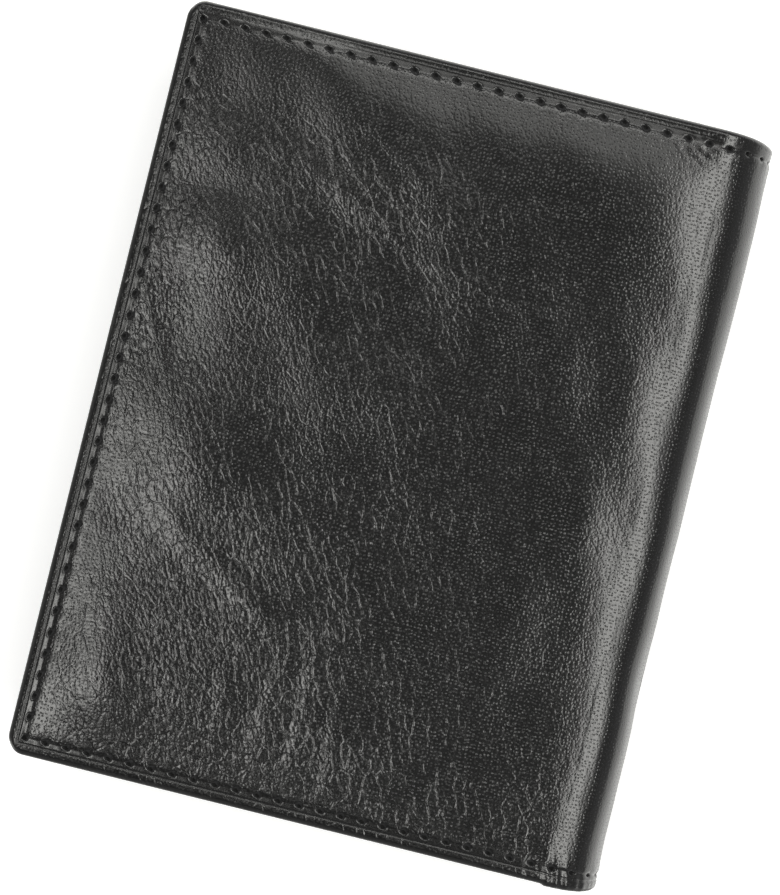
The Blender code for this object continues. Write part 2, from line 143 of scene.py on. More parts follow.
@dataclass
class Surface:
    """A mesh in the making: corner points, their place on the flat sheet, and faces.

    Faces are kept as blocks, each an array with one row of point numbers for each face.
    """

    points: list[Array] = field(default_factory=list)
    flat: list[Array] = field(default_factory=list)
    pressed: list[Array] = field(default_factory=list)
    blocks: list[Array] = field(default_factory=list)
    count: int = 0

    def add_points(self, points: Array, flat: Array, pressed: Array | None = None) -> Array:
        """Add points of any grid shape.

        Args:
            points: positions in metres, with x, y and z on the last axis.
            flat: places on the flat sheet in millimetres, with two values on the last axis.
            pressed: how far the grain is pressed smooth at each point, from 0 to 1.

        Returns:
            The points' numbers, in the grid's own shape.
        """
        shape = points.shape[:-1]
        size = int(np.prod(shape))
        self.points.append(points.reshape(-1, 3))
        self.flat.append(flat.reshape(-1, 2))
        self.pressed.append(np.zeros(size) if pressed is None else pressed.reshape(-1))
        numbers = np.arange(self.count, self.count + size).reshape(shape)
        self.count += size
        return numbers

    def add_grid(self, numbers: Array, flip: bool = False, wrap: bool = False) -> None:
        """Add the quads of one or more grids of point numbers.

        Args:
            numbers: rows and columns of point numbers on the last two axes.
            flip: turn the faces round.
            wrap: join the last column to the first.
        """
        if wrap:
            numbers = np.concatenate([numbers, numbers[..., :1]], axis=-1)
        here, there = numbers[..., :-1, :], numbers[..., 1:, :]
        quads = np.stack([here[..., :-1], there[..., :-1], there[..., 1:], here[..., 1:]], axis=-1)
        quads = quads.reshape(-1, 4)
        self.blocks.append(quads[:, ::-1] if flip else quads)

    def add_step_down(self, fine: Array, coarse: Array, flip: bool = False) -> None:
        """Join a fine line of points to a coarse one, with one face for each coarse step.

        Args:
            fine: point numbers of the fine line.
            coarse: point numbers of the coarse line, whose steps are whole numbers of fine steps.
            flip: turn the faces round.
        """
        steps = len(coarse) - 1
        ratio = (len(fine) - 1) // steps
        starts = np.arange(steps)[:, None] * ratio
        fine_part = fine[starts + np.arange(ratio + 1)[None, :]]
        faces = np.concatenate([fine_part, coarse[1:, None], coarse[:-1, None]], axis=1)
        self.blocks.append(faces[:, ::-1] if flip else faces)

    def add_face(self, numbers: Array, flip: bool = False) -> None:
        """Add one face with many corners."""
        self.blocks.append(numbers[None, ::-1] if flip else numbers[None, :])

    def arrays(self) -> tuple[Array, Array, Array]:
        """The points, the places on the flat sheet and the pressed values, each as one array."""
        return np.concatenate(self.points), np.concatenate(self.flat), np.concatenate(self.pressed)

    def build(self, name: str, normals: Array | None = None) -> Piece:
        """Make an object of it, without the outer leather's own values."""
        points, flat, _ = self.arrays()
        return build_object(name, points, self.blocks, flat, normals=normals)


def point_normals(points: Array, blocks: list[Array]) -> Array:
    """Area-weighted normals at the points, not yet of unit length.

    A face's normal is half the sum of the cross products of its neighbouring corners.

    Args:
        points: positions.
        blocks: faces, as in Surface.

    Returns:
        One vector for each point.
    """
    normals = np.zeros_like(points)
    for block in blocks:
        corners = points[block]
        turned = np.cross(corners, np.roll(corners, -1, axis=1)).sum(axis=1) / 2
        for column in range(block.shape[1]):
            for axis in range(3):
                normals[:, axis] += np.bincount(
                    block[:, column], weights=turned[:, axis], minlength=len(points)
                )
    return normals


def unit(vectors: Array) -> Array:
    """The vectors at unit length."""
    length = np.linalg.norm(vectors, axis=-1, keepdims=True)
    return vectors / np.maximum(length, 1e-12)


def build_object(
    name: str,
    points: Array,
    blocks: list[Array],
    flat: Array,
    pressed: Array | None = None,
    normals: Array | None = None,
) -> Piece:
    """Make an object of a surface, smooth all over.

    Args:
        name: the piece's name.
        points: positions in metres.
        blocks: faces, as in Surface.
        flat: each point's place on its flat sheet in millimetres, which becomes the UV map.
        pressed: how far the grain of the outer leather is pressed smooth at each point.
        normals: normals that the shading takes over, where a piece has to match its neighbour.

    Returns:
        The object, which sits at the origin with its place in its mesh.
    """
    loops = np.concatenate([block.ravel() for block in blocks]).astype(np.int32)
    totals = np.concatenate([np.full(len(block), block.shape[1]) for block in blocks])
    starts = np.concatenate([[0], np.cumsum(totals)[:-1]]).astype(np.int32)
    mesh = bpy.data.meshes.new(name)
    mesh.vertices.add(len(points))
    mesh.vertices.foreach_set("co", points.astype(np.float32).ravel())
    mesh.loops.add(len(loops))
    mesh.loops.foreach_set("vertex_index", loops)
    mesh.polygons.add(len(totals))
    mesh.polygons.foreach_set("loop_start", starts)
    mesh.update(calc_edges=True)
    layer = mesh.uv_layers.new(name=UV_NAME)
    layer.uv.foreach_set("vector", flat[loops].astype(np.float32).ravel())
    values = {DRAWN_NAME: np.full(len(points), INNER_DRAWN)}
    if pressed is not None:
        u, v = flat.T
        values = {SMOOTH_NAME: pressed, DRAWN_NAME: FORM.drawn(u, v), DULL_SHADE_NAME: FORM.dull_and_shaded(u, v)}
    for title, row in values.items():
        attribute = mesh.attributes.new(title, "FLOAT", "POINT")
        attribute.data.foreach_set("value", row.astype(np.float32))
    mesh.shade_smooth()
    mesh.validate()
    if normals is not None:
        mesh.normals_split_custom_set_from_vertices(unit(normals).tolist())
    piece = bpy.data.objects.new(name, mesh)
    bpy.context.scene.collection.objects.link(piece)
    return piece


@dataclass(frozen=True)
class Ridge:
    """A soft crease that stands up along a line, in millimetres on the back cover."""

    start: Point
    end: Point
    height: float
    width: float

    def lift(self, x: Array, y: Array) -> Array:
        """Its height: a bell of the distance from the line, fading towards both ends.

        Args:
            x: places across the cover.
            y: places along the cover.

        Returns:
            The heights.
        """
        along = np.array(self.end) - np.array(self.start)
        length = float(np.hypot(*along))
        way = along / length
        reach = (x - self.start[0]) * way[0] + (y - self.start[1]) * way[1]
        aside = (x - self.start[0]) * way[1] - (y - self.start[1]) * way[0]
        taper = smoothstep(-self.width, length * 0.3, reach)
        taper = taper * (1 - smoothstep(length * 0.7, length + self.width, reach))
        return self.height * bell(aside, self.width) * taper


@dataclass(frozen=True)
class Swell:
    """A round rise or dimple, in millimetres on the back cover."""

    centre: Point
    reach: Point
    height: float

    def lift(self, x: Array, y: Array) -> Array:
        """Its height: a bell with its own reach along each axis, which may be endless."""
        across = bell(x - self.centre[0], self.reach[0])
        return self.height * across * bell(y - self.centre[1], self.reach[1])


@dataclass(frozen=True)
class LeatherForm:
    """The outer leather as a flat sheet, and its relief. Lengths are in millimetres.

    u runs from the back cover over the spine to the front cover and is 0 at the back cover's fold
    line. v runs from the tail to the head and is 0 at the middle. Each method takes u and v as
    arrays of places and gives an array of the same shape.
    """

    fold_x: float = joint_position("back_cover_fold")[0] / MM
    thickness: float = joint_position("back_cover_fold")[1] / MM
    free_x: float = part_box("back_cover")[0][0] / MM
    half_height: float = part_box("back_cover")[1][1] / MM
    seam_inset: float = 2.6
    pitch: float = 3.5
    strip_drop: float = 0.17
    pressed_drop: float = 0.05
    roll_drop: float = 0.10
    shoulder: float = 0.09
    crease_inset: float = 1.6
    crease_depth: float = 0.15
    crease_width: float = 0.14
    groove_depth: float = 0.015
    spine_groove_depth: float = 0.14
    pucker: float = 0.035
    half_pucker: float = 0.012
    hole_depth: float = 0.55
    hole_length: float = 0.42
    hole_width: float = 0.24
    hole_slant: float = 22.0
    hole_stray: float = 0.10
    # How dull the turned edge is, and how much painted shade darkens it.
    edge_dull_shade: float = 0.62
    back_crown: float = 1.25
    front_tuck: float = 0.22
    front_evenness: float = 0.35
    free_reach: float = 13.0
    side_reach: float = 9.0
    head_reach: float = 6.4
    reach_slope: float = 0.007
    calm_reach: float = 4.0
    spine_reach: float = 8.5
    spine_dip: float = 2.2
    spine_fill: float = 0.60
    spine_fill_slope: float = 0.006
    spine_fill_end: float = -20.0
    spine_belly: float = 0.35
    tail_flare: float = 0.9
    flare_reach: float = 8.0
    end_fullness: float = 0.22
    relief_depth: float = 3.0
    wrinkle_height: float = 0.008
    gather: float = 0.085
    long_gather: float = 0.05
    head_gather: float = 0.030
    ridges: tuple[Ridge, ...] = (
        Ridge((-31.0, 45.0), (-4.0, 31.0), 0.12, 2.0),
        Ridge((-6.0, 32.0), (24.0, 24.5), 0.10, 1.2),
        Ridge((-20.0, 52.0), (4.0, 38.0), 0.09, 1.6),
        Ridge((-37.5, -16.6), (-8.0, -34.3), 0.19, 2.2),
        Ridge((-8.5, -36.0), (-9.5, -58.0), 0.17, 1.7),
        Ridge((-3.4, -34.0), (-3.0, -58.0), 0.19, 1.4),
        Ridge((2.0, -38.0), (3.0, -58.0), 0.12, 1.4),
        Ridge((-17.0, -40.0), (-16.0, -57.0), 0.09, 1.3),
        Ridge((-45.0, 16.0), (-38.0, 2.0), 0.10, 1.3),
        Ridge((-46.2, -33.6), (-30.9, -29.7), -0.06, 0.3),
        Ridge((-22.1, 46.7), (-16.9, 36.5), 0.09, 0.5),
        Ridge((-20.3, 46.5), (-11.7, 36.8), 0.10, 0.5),
        Ridge((-11.7, 36.8), (-4.2, 30.4), 0.09, 0.5),
        Ridge((-4.2, 30.4), (2.3, 28.7), 0.06, 0.5),
        Ridge((-15.3, 46.1), (-5.5, 35.2), 0.06, 0.5),
        Ridge((-35.7, 25.0), (-30.3, 21.5), 0.06, 0.5),
        Ridge((-33.6, 19.4), (-19.9, 16.5), 0.04, 0.5),
    )
    swells: tuple[Swell, ...] = (
        Swell((-38.5, 42.0), (6.0, 5.0), 0.42),
        Swell((-37.0, 27.0), (6.0, 5.5), 0.32),
        Swell((-39.0, 33.5), (5.0, 3.0), -0.22),
        Swell((-39.0, 7.0), (5.0, 5.5), -0.20),
        Swell((-48.0, 13.0), (6.0, 13.0), 0.30),
        Swell((-30.0, -10.5), (8.0, 7.5), 0.50),
        Swell((-39.0, -20.0), (5.0, 4.5), -0.30),
        Swell((-37.5, -45.0), (8.0, 12.0), 0.62),
        Swell((31.0, 44.0), (5.0, 8.0), 0.12),
        Swell((30.0, 18.0), (4.0, 7.0), -0.20),
        Swell((33.0, -3.0), (4.0, 8.0), 0.18),
        Swell((31.0, -30.0), (5.0, 12.0), -0.26),
        Swell((14.0, -34.0), (15.0, 20.0), -0.34),
        Swell((6.0, 10.0), (16.0, 14.0), -0.26),
        Swell((12.0, 50.0), (16.0, 7.0), 0.30),
        Swell((-26.0, 60.0), (10.0, 4.5), 0.45),
    )
    creasing: float = 0.30
    free_creasing: float = 0.25
    creased_spots: tuple[Swell, ...] = (
        Swell((-22.0, -42.0), (24.0, 26.0), 0.75),
        Swell((0.0, -60.0), (math.inf, 14.0), 0.35),
        Swell((-44.0, 0.0), (9.0, math.inf), 0.40),
        Swell((-14.0, 36.0), (14.0, 14.0), 0.35),
    )
    seed: int = 11
    waves: int = 12
    wave_steepness: float = 0.0019

    @property
    def radius(self) -> float:
        """The radius that the spine is bent to."""
        return self.thickness / 2

    @property
    def turn(self) -> float:
        """The length of the spine's arc on the sheet."""
        return math.pi * self.radius

    @property
    def free_length(self) -> float:
        """From a fold line to the free edge."""
        return self.fold_x - self.free_x

    def cover_distance(self, u: Array) -> Array:
        """How far out on its cover a point lies from the fold line, below 0 on the spine."""
        return np.maximum(-u, u - self.turn)

    def free_inset(self, u: Array) -> Array:
        """How far a point lies inside the free edge of its cover."""
        return self.free_length - self.cover_distance(u)

    def side_inset(self, v: Array) -> Array:
        """How far a point lies inside the nearer one of head and tail."""
        return self.half_height - np.abs(v)

    def undulation(self, u: Array, v: Array) -> Array:
        """Soft unevenness: a sum of plane waves of 11 to 40 mm with seeded ways and phases.

        Args:
            u: places across the sheet.
            v: places along the sheet.

        Returns:
            The heights.
        """
        random = np.random.default_rng(self.seed)
        total = np.zeros(np.broadcast(u, v).shape)
        for _ in range(self.waves):
            wave, way, phase = random.uniform(11, 40), random.uniform(0, math.pi), random.uniform(0, TAU)
            reach = u * math.cos(way) + v * math.sin(way)
            total += self.wave_steepness * wave * np.sin(TAU * reach / wave + phase)
        return total

    def wrinkles(self, u: Array, v: Array) -> Array:
        """Fine draws in the leather, mostly along v: short waves across u, bent by longer ones.

        Args:
            u: places across the sheet.
            v: places along the sheet.

        Returns:
            The heights.
        """
        bend = 2.2 * np.sin(TAU * v / 31 + 0.7) + 1.3 * np.sin(TAU * (v + u) / 17 + 2.1)
        fine = np.sin(TAU * (u + bend) / 3.1) + 0.7 * np.sin(TAU * (u * 1.1 - bend) / 4.7 + 1.0)
        patches = 0.5 + 0.5 * np.sin(TAU * u / 37 + 0.5) * np.sin(TAU * v / 43 + 1.9)
        return self.wrinkle_height * fine * patches

    def drawn(self, u: Array, v: Array) -> Array:
        """How much the leather is drawn into creases, from 0 to 1: most at the tail and free edge.

        It is the sum of a slope towards the free edge and some spots, less on the spine, and less
        where the leather is taut: low on the free edge and along the head.

        Args:
            u: places across the sheet.
            v: places along the sheet.

        Returns:
            The shares.
        """
        x = self.fold_x + u
        amount = self.creasing + self.free_creasing * smoothstep(28.0, -2.0, x)
        for spot in self.creased_spots:
            amount += spot.lift(x, v)
        on_spine = smoothstep(-4.0, 3.0, u) * (1 - smoothstep(self.turn - 3.0, self.turn + 4.0, u))
        taut = 0.9 * bell(x + 48, 9) * smoothstep(8.0, -18.0, v) + 0.6 * smoothstep(43.0, 54.0, v)
        return np.clip(amount * (1 - 0.8 * on_spine), 0, 1) * (1 - taut)

    def seam_frame(self, u: Array, v: Array) -> tuple[Array, Array]:
        """Where a point lies by the nearest line of the seam.

        Args:
            u: places across the sheet.
            v: places along the sheet.

        Returns:
            The distance inwards from the nearest turned edge, and the distance along the seam in
            stitches, whole at each hole.
        """
        free, side = self.free_inset(u), self.side_inset(v)
        by_free_edge = free < side
        out = self.free_length - self.seam_inset
        row, column = 2 * out + self.turn, 2 * (self.half_height - self.seam_inset)
        across = (u + out) * round(row / self.pitch) / row
        along = (v + column / 2) * round(column / self.pitch) / column
        return np.where(by_free_edge, free, side), np.where(by_free_edge, along, across)

    def pressed_strip(self, u: Array, v: Array) -> Array:
        """1 on the smooth strip that the seam lies in, 0 on the grain."""
        inset, _ = self.seam_frame(u, v)
        outer = smoothstep(self.crease_inset - 0.12, self.crease_inset + 0.12, inset)
        return outer * (1 - smoothstep(self.seam_inset + 0.05, self.seam_inset + 0.55, inset))

    def along_head(self, u: Array, v: Array) -> Array:
        """1 where the nearest edge is the head's, 0 by the free edges and the tail."""
        beyond = self.free_inset(u) - (self.half_height - v)
        return np.where(v > 0, smoothstep(-1.0, 1.0, beyond), 0.0)

    def rolled(self, u: Array, v: Array) -> Array:
        """1 on the stretch of the head where the back cover's turned edge is full and round."""
        x = self.fold_x + u
        stretch = smoothstep(-45.5, -42.0, x) * (1 - smoothstep(-30.0, -18.0, x))
        return stretch * self.along_head(u, v)

    def seam_relief(self, u: Array, v: Array) -> Array:
        """The seam: its dropped strip, the crease beside it, its groove, slanted holes and puckers.

        A pucker is a cosine with the stitches' spacing that dies away inwards from the seam.

        Args:
            u: places across the sheet.
            v: places along the sheet.

        Returns:
            The heights.
        """
        inset, stitch = self.seam_frame(u, v)
        aside = inset - self.seam_inset
        by_head, rolled = self.along_head(u, v), self.rolled(u, v)
        face = smoothstep(0.2 * (1 - by_head), self.crease_inset - 0.8 * by_head, inset)
        strip = self.strip_drop * (face - 1) - self.pressed_drop * self.pressed_strip(u, v)
        strip -= self.pressed_drop * by_head * bell(inset - 1.15, 0.35)
        roll = self.roll_drop * (smoothstep(0.8, 2.2, inset) - 1)
        strip += (roll - strip) * rolled
        strip += self.shoulder * smoothstep(-0.1, 1.3, aside)
        creased = (1 - 0.85 * by_head) * (1 - rolled)
        crease = -self.crease_depth * creased * bell(inset - self.crease_inset, self.crease_width)
        on_spine = smoothstep(2.0, -4.0, self.cover_distance(u))
        groove = -(self.groove_depth + self.spine_groove_depth * on_spine) * bell(aside, 0.30)
        holes = -self.hole_depth * self.hole_share(u, v)
        puckers = self.pucker * np.cos(TAU * stitch) * bell(aside - 0.7, 0.9)
        inner = np.maximum(aside, 0)
        puckers += self.half_pucker * np.cos(2 * TAU * stitch + 0.6) * bell(inner - 1.2, 1.6)
        return strip + crease + groove + holes - puckers

    def hole_share(self, u: Array, v: Array) -> Array:
        """How far inside a stitch hole a point lies.

        A hole is a bell, long along the seam and turned by its slant, and strays a little from
        its even place.

        Args:
            u: places across the sheet.
            v: places along the sheet.

        Returns:
            1 in a hole's middle and 0 outside.
        """
        inset, stitch = self.seam_frame(u, v)
        number = np.round(stitch)
        along = (stitch - number) * self.pitch + self.hole_stray * np.sin(number * 12.9898)
        aside = inset - self.seam_inset
        by_free_edge = self.free_inset(u) < self.side_inset(v)
        hand = np.where(by_free_edge | (v > 0), 1.0, -1.0)
        cosine, sine = math.cos(math.radians(self.hole_slant)), math.sin(math.radians(self.hole_slant))
        long_way = along * cosine + hand * aside * sine
        short_way = -hand * along * sine + aside * cosine
        return np.exp(-((long_way / self.hole_length) ** 4) - (short_way / self.hole_width) ** 2)

    def dull_and_shaded(self, u: Array, v: Array) -> Array:
        """Where the leather is dull and painted darker as shade: the stitch holes, and the turned edge.

        Args:
            u: places across the sheet.
            v: places along the sheet.

        Returns:
            How dull each point is, and how much painted shade darkens it, from 0 to 1.
        """
        inset, _ = self.seam_frame(u, v)
        beyond = v - self.half_height + self.free_inset(u)
        at_head = smoothstep(0.0, 2.0, beyond) * smoothstep(-2.0, 0.0, v - 40.0)
        # The outer roll of the turned edge is painted darker as shade, except along the head.
        edge = self.edge_dull_shade * (1 - smoothstep(0.45, 1.0, inset)) * (1 - at_head)
        return np.maximum(self.hole_share(u, v), edge)

    def spine_gathers(self, u: Array, v: Array) -> Array:
        """Draws at the spine's ends, where the turned-in edge is gathered round the fold.

        At the tail they are sines across the sheet that die away inwards, at the head rings.

        Args:
            u: places across the sheet.
            v: places along the sheet.

        Returns:
            The heights.
        """
        to_tail, to_head = v + self.half_height, self.half_height - v
        draws = np.sin(TAU * (u + 0.25 * to_tail) / 1.55) + 0.6 * np.sin(TAU * u / 2.6 + 0.9)
        fading = bell(u - 3.5, 6.5) * np.exp(-np.maximum(to_tail - 0.5, 0) / 2.4)
        long_draws = np.sin(TAU * (u + 0.12 * to_tail) / 4.4 + 0.4)
        long_fading = bell(u + 4.0, 8.0) * np.exp(-np.maximum(to_tail - 1, 0) / 7.0)
        rings = np.sin(TAU * np.hypot((u - 1.0) * 0.9, to_head) / 1.5)
        near_head = bell(u + 0.5, 5.5) * bell(to_head - 4.5, 3.2)
        tail = self.gather * draws * fading + self.long_gather * long_draws * long_fading
        return tail + self.head_gather * rings * near_head

    def crown(self, u: Array, v: Array) -> Array:
        """The padded cover's crown, which dips at the spine, and the front cover's tucked edges.

        Args:
            u: places across the sheet.
            v: places along the sheet.

        Returns:
            The heights.
        """
        distance = self.cover_distance(u)
        free, side = np.maximum(self.free_inset(u), 0), np.maximum(self.side_inset(v), 0)
        free_reach = self.free_reach * (1 + self.reach_slope * v)
        spine_reach = self.spine_reach * (1 - self.reach_slope * v)
        side_reach = np.where(v > 0, self.head_reach, self.side_reach)
        full = settled(free / free_reach, 1.5) * settled(side / side_reach, 1.5)
        behind = np.maximum(-distance, 0)
        rise = settled(np.maximum(distance, 0) / spine_reach)
        rise = rise - behind / spine_reach * np.exp(-behind / self.spine_dip)
        tuck = -self.front_tuck * (1 - full) * smoothstep(-3.0, 6.0, distance)
        return np.where(u < self.turn / 2, self.back_crown * full * rise, tuck)

    def spine_curve(self, u: Array, v: Array) -> Array:
        """How much fuller than its arc the spine is, by powers of sines of the angle round it.

        Args:
            u: places across the sheet.
            v: places along the sheet.

        Returns:
            The heights.
        """
        angle = np.clip(u, 0, self.turn) / self.radius
        fill = self.spine_fill - self.spine_fill_slope * np.maximum(v, self.spine_fill_end)
        flare = self.tail_flare * np.exp(-np.maximum(v + self.half_height, 0) / self.flare_reach)
        lift = fill * np.sin(2 * angle) ** 4 + self.spine_belly * np.sin(angle) ** 6
        return lift + flare * np.sin(angle) ** 4

    def relief(self, u: Array, v: Array, seam: bool = True) -> Array:
        """The height of the leather's face above the plain cover.

        Args:
            u: places across the sheet.
            v: places along the sheet.
            seam: take the seam's own relief in.

        Returns:
            The heights.
        """
        free, side = np.maximum(self.free_inset(u), 0), np.maximum(self.side_inset(v), 0)
        calm = settled(side / self.calm_reach) * settled(free / self.calm_reach)
        lift = self.crown(u, v) + self.spine_curve(u, v)
        lift += self.undulation(u, v) * calm * np.where(u < self.turn / 2, 1.0, self.front_evenness)
        lift += self.wrinkles(u, v) * calm
        x = self.fold_x + np.minimum(u, 0)
        for feature in (*self.ridges, *self.swells):
            lift += np.where(u < 2, feature.lift(x, v), 0) * calm
        lift += self.spine_gathers(u, v)
        return lift + self.seam_relief(u, v) if seam else lift

    def place(
        self, u: Array, v: Array, depth: Array | float, seam: bool = True, plain: bool = False
    ) -> Array:
        """Lay points of the sheet round the closed wallet.

        A point goes straight along its cover, or by its angle round the spine's arc, and then
        along the surface's normal by its relief less its depth.

        Args:
            u: places across the sheet.
            v: places along the sheet.
            depth: how deep in the leather each point lies.
            seam: take the seam's own relief in.
            plain: leave all relief out.

        Returns:
            Positions in metres, with x, y and z on the last axis.
        """
        angle = np.clip(u, 0, self.turn) / self.radius
        lift = np.zeros(np.shape(u)) if plain else self.relief(u, v, seam)
        reach = self.radius + lift * np.exp(-np.asarray(depth) / self.relief_depth) - depth
        flat_part = np.minimum(u, 0) - np.maximum(u - self.turn, 0)
        x = self.fold_x + flat_part + reach * np.sin(angle)
        z = self.radius + reach * np.cos(angle)
        y = v + np.sign(v) * self.end_fullness * smoothstep(-1.5, 0.0, -self.side_inset(v))
        return np.stack([x, np.broadcast_to(y, x.shape), z], axis=-1) * MM


FORM = LeatherForm()


@dataclass(frozen=True)
class EdgeSection:
    """The section of a cover's turned edge, from the field of the face round to the inner side."""

    face_inset: float = 6.2
    field_gap: float = 0.55
    exact_inset: float = 2.8
    hem_width: float = 8.0
    hem_end: float = 8.4
    skin: float = 1.0
    edge_thickness: float = 2.0
    roll: float = 0.75

    @property
    def field_inset(self) -> float:
        """The inset of the face's even field."""
        return self.face_inset + self.field_gap

    def fine(self) -> Array:
        """The fine part as rows of inset and depth: the face, the roll and a little of the hem.

        The roll is half an ellipse, as deep as the edge is thick.

        Returns:
            A row for each point.
        """
        far = np.linspace(self.face_inset, self.exact_inset, 9, endpoint=False)
        near = np.linspace(self.exact_inset, self.roll, 17, endpoint=False)
        angle = np.linspace(0, math.pi, 12)
        inset = np.concatenate([far, near, self.roll * (1 - np.sin(angle))])
        depth = self.edge_thickness / 2 * (1 - np.cos(angle))
        return np.stack([inset, np.concatenate([np.zeros(len(far) + len(near)), depth])], axis=1)

    def coarse(self) -> Array:
        """The coarse part: the hem's inner face and the step down to the leather's inner face."""
        hem = np.linspace(self.roll + 1.2, self.hem_width, 5)
        step = [[self.hem_width + 0.1, self.edge_thickness - 0.2], [self.hem_end - 0.15, self.skin + 0.1]]
        return np.concatenate([np.stack([hem, np.full(5, self.edge_thickness)], axis=1), step])


@dataclass(frozen=True)
class CoverNet:
    """The net of points over one cover: rings round its three free sides, and two fields.

    A ring starts at the head end of the border with the spine, runs round the free edge and ends
    at the tail end of the border.
    """

    section: EdgeSection = EdgeSection()
    border: float = 3.5
    corner: float = 2.9
    head_steps: int = 290
    corner_steps: int = 20
    side_steps: int = 400

    @property
    def turn_steps(self) -> int:
        """Steps from the border to the first corner's middle."""
        return self.head_steps + self.corner_steps // 2

    @property
    def long_steps(self) -> int:
        """Steps between the two corners' middles."""
        return self.side_steps + self.corner_steps

    def offset_ring(self, inset: float) -> Array:
        """The outline moved inwards, with rounder corners outside and tighter ones inside.

        Args:
            inset: how far inwards, in millimetres.

        Returns:
            Rows of the distance out from the fold line and the place along the sheet.
        """
        radius = self.corner - inset
        end, top = FORM.free_length - self.corner, FORM.half_height - self.corner
        angle = np.linspace(0, math.pi / 2, self.corner_steps, endpoint=False)
        bow, drop = radius * np.sin(angle), radius * np.cos(angle)
        straight = np.linspace(self.border, end, self.head_steps, endpoint=False)
        side = np.linspace(top, -top, self.side_steps, endpoint=False)
        back = np.linspace(end, self.border, self.head_steps + 1)
        out = [straight, end + bow, np.full(self.side_steps, end + radius), end + drop, back]
        along = [np.full(self.head_steps, top + radius), top + drop, side, -top - bow,
                 np.full(len(back), -top - radius)]
        return np.stack([np.concatenate(out), np.concatenate(along)], axis=1)

    def square_ring(self, inset: float) -> Array:
        """A ring with square corners and even steps on each side.

        Args:
            inset: how far inwards, in millimetres.

        Returns:
            Rows as in offset_ring.
        """
        end, top = FORM.free_length - inset, FORM.half_height - inset
        head = np.linspace(self.border, end, self.turn_steps, endpoint=False)
        side = np.linspace(top, -top, self.long_steps, endpoint=False)
        tail = np.linspace(end, self.border, self.turn_steps + 1)
        out = [head, np.full(len(side), end), tail]
        along = [np.full(len(head), top), side, np.full(len(tail), -top)]
        return np.stack([np.concatenate(out), np.concatenate(along)], axis=1)

    def ring(self, inset: float, square: float) -> Array:
        """The ring at an inset: exact near the edge, then turning square as it nears the field.

        Args:
            inset: the ring's inset.
            square: the inset at which the ring is all square.

        Returns:
            Rows as in offset_ring.
        """
        exact = self.section.exact_inset
        if inset <= exact:
            return self.offset_ring(inset)
        share = (inset - exact) / (square - exact)
        return (1 - share) * self.offset_ring(exact) + share * self.square_ring(square)

    def field(self, inset: float, every: int) -> tuple[Array, Array]:
        """The even grid inside a square ring: rows from head to tail, columns from the border."""
        out = np.linspace(self.border, FORM.free_length - inset, self.turn_steps // every + 1)
        top = FORM.half_height - inset
        return np.meshgrid(out, np.linspace(top, -top, self.long_steps // every + 1))


def field_ring(numbers: Array) -> Array:
    """The point numbers round a field's three outer sides, in a ring's order."""
    return np.concatenate([numbers[0, :], numbers[1:, -1], numbers[-1, -2::-1]])


@dataclass
class CutSheet:
    """A part of the leather with its border loops, along which it meets its neighbours."""

    surface: Surface
    normals: Array
    loops: list[Array]


